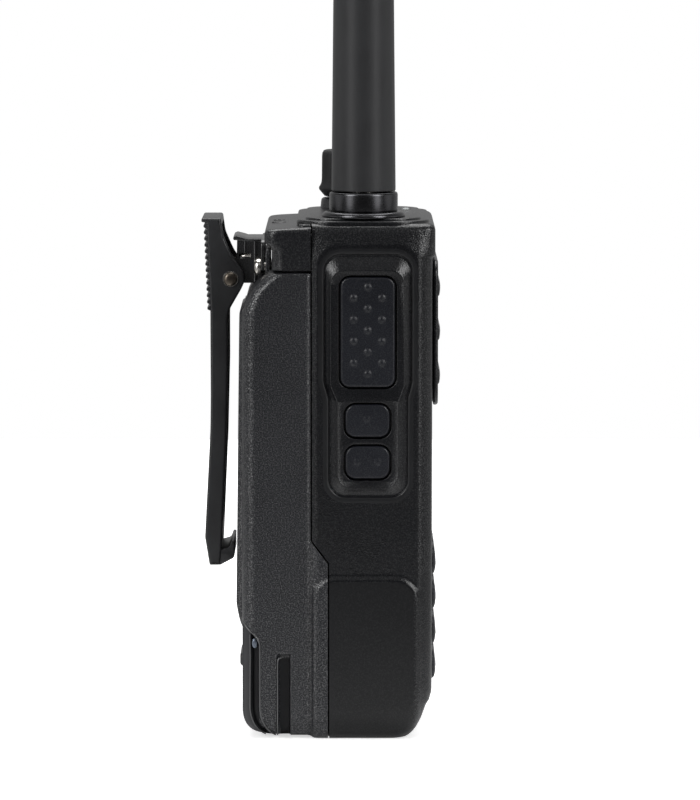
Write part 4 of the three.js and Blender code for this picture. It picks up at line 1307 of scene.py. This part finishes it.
# ---------------------------------------------------------------- studio
# each patch: the way to its middle as the camera sees it (right, up, away), its half angle and its brightness
PATCHES = [
    ((-0.66, 0.42, -0.62), 13, 6.5),
    ((0.66, 0.42, -0.62), 13, 6.5),
    ((-0.74, -0.04, -0.67), 10, 2.0),
    ((0.74, -0.04, -0.67), 10, 2.0),
    ((-1.0, 0.12, 0.05), 16, 0.6),
    ((1.0, 0.12, 0.05), 16, 0.6),
    ((0.0, 0.62, -0.78), 13, 0.35),
    ((0.0, 0.25, 1.0), 62, 0.32),
]
DIM = 0.05


def stage():
    """A floor that the camera sees as pale paper, and that throws less light back far from the radio."""
    floor = bpy.data.meshes.new("floor")
    floor.from_pydata([(-0.45, -0.6, 0), (0.6, -0.6, 0), (0.6, 0.6, 0), (-0.45, 0.6, 0)], [], [(0, 1, 2, 3)])
    material, tree, shader, coords = new_material("floor_paper")
    seen = add(tree, "LightPath", {}).outputs["Is Camera Ray"]
    distance = add(tree, "VectorMath", {0: coords}, operation="LENGTH").outputs["Value"]
    bounce = spread(tree, distance, 0.95, 0.36, 0.05, 0.19)
    paper = ramp(tree, noise(tree, coords, 4.0), (0.2, grey(0.93)), (0.8, grey(0.96)))
    mix = add(tree, "Mix", {}, data_type="RGBA")
    feed(mix, {"Factor": seen, 6: bounce, 7: paper})
    feed(shader, {
        "Base Color": mix.outputs[2],
        "Roughness": 0.9,
        "Specular IOR Level": 0.0,
        "Emission Color": (1, 1, 1, 1),
        "Emission Strength": calc(tree, "MULTIPLY", seen, 0.6),
    })
    floor.materials.append(material)
    linked("floor", floor)


def aim(obj, place, target):
    obj.location = place
    obj.rotation_mode = "QUATERNION"
    obj.rotation_quaternion = (target - place).to_track_quat("-Z", "Y")


def area_light(name, place, target, size, power):
    light = bpy.data.lights.new(name, "AREA")
    light.shape = "RECTANGLE"
    light.size, light.size_y = size
    light.energy = power
    aim(linked(name, light), Vector(place), Vector(target))


def world():
    """White where the camera sees it. Its light is dim but for soft patches that go with the camera."""
    scene_world = bpy.data.worlds.new("studio")
    scene_world.use_nodes = True
    tree = scene_world.node_tree
    way = add(tree, "TexCoord", {}).outputs["Camera"]
    away = add(tree, "VectorMath", {0: way}, operation="NORMALIZE").outputs[0]
    total = DIM
    for middle_way, half_angle, strength in PATCHES:
        centre = Vector(middle_way).normalized()
        near = add(tree, "VectorMath", {0: away, 1: centre}, operation="DOT_PRODUCT").outputs["Value"]
        edge, core = (math.cos(math.radians(half_angle * share)) for share in (1.25, 0.9))
        total = calc(tree, "ADD", total, spread(tree, near, 0, strength, edge, core))
    seen = add(tree, "LightPath", {}).outputs["Is Camera Ray"]
    feed(tree.nodes["Background"], {"Color": (1, 1, 1, 1), "Strength": calc(tree, "MAXIMUM", seen, total)})
    bpy.context.scene.world = scene_world
    bpy.context.scene.view_settings.view_transform = "Standard"


def camera():
    data = bpy.data.cameras.new("camera")
    data.lens = 211.6
    data.sensor_width = 36
    data.clip_start, data.clip_end = 0.05, 50
    target = Vector((-0.028, -0.00360, 0.0808))
    rise = math.radians(6.0)
    obj = linked("camera", data)
    aim(obj, target + Vector((-math.cos(rise), 0, math.sin(rise))) * 1.1, target)
    bpy.context.scene.camera = obj


stage()
world()
area_light("top", (0.35, 0, 1.2), (0, 0, 0.1), (1.2, 1.1), 14)
camera()
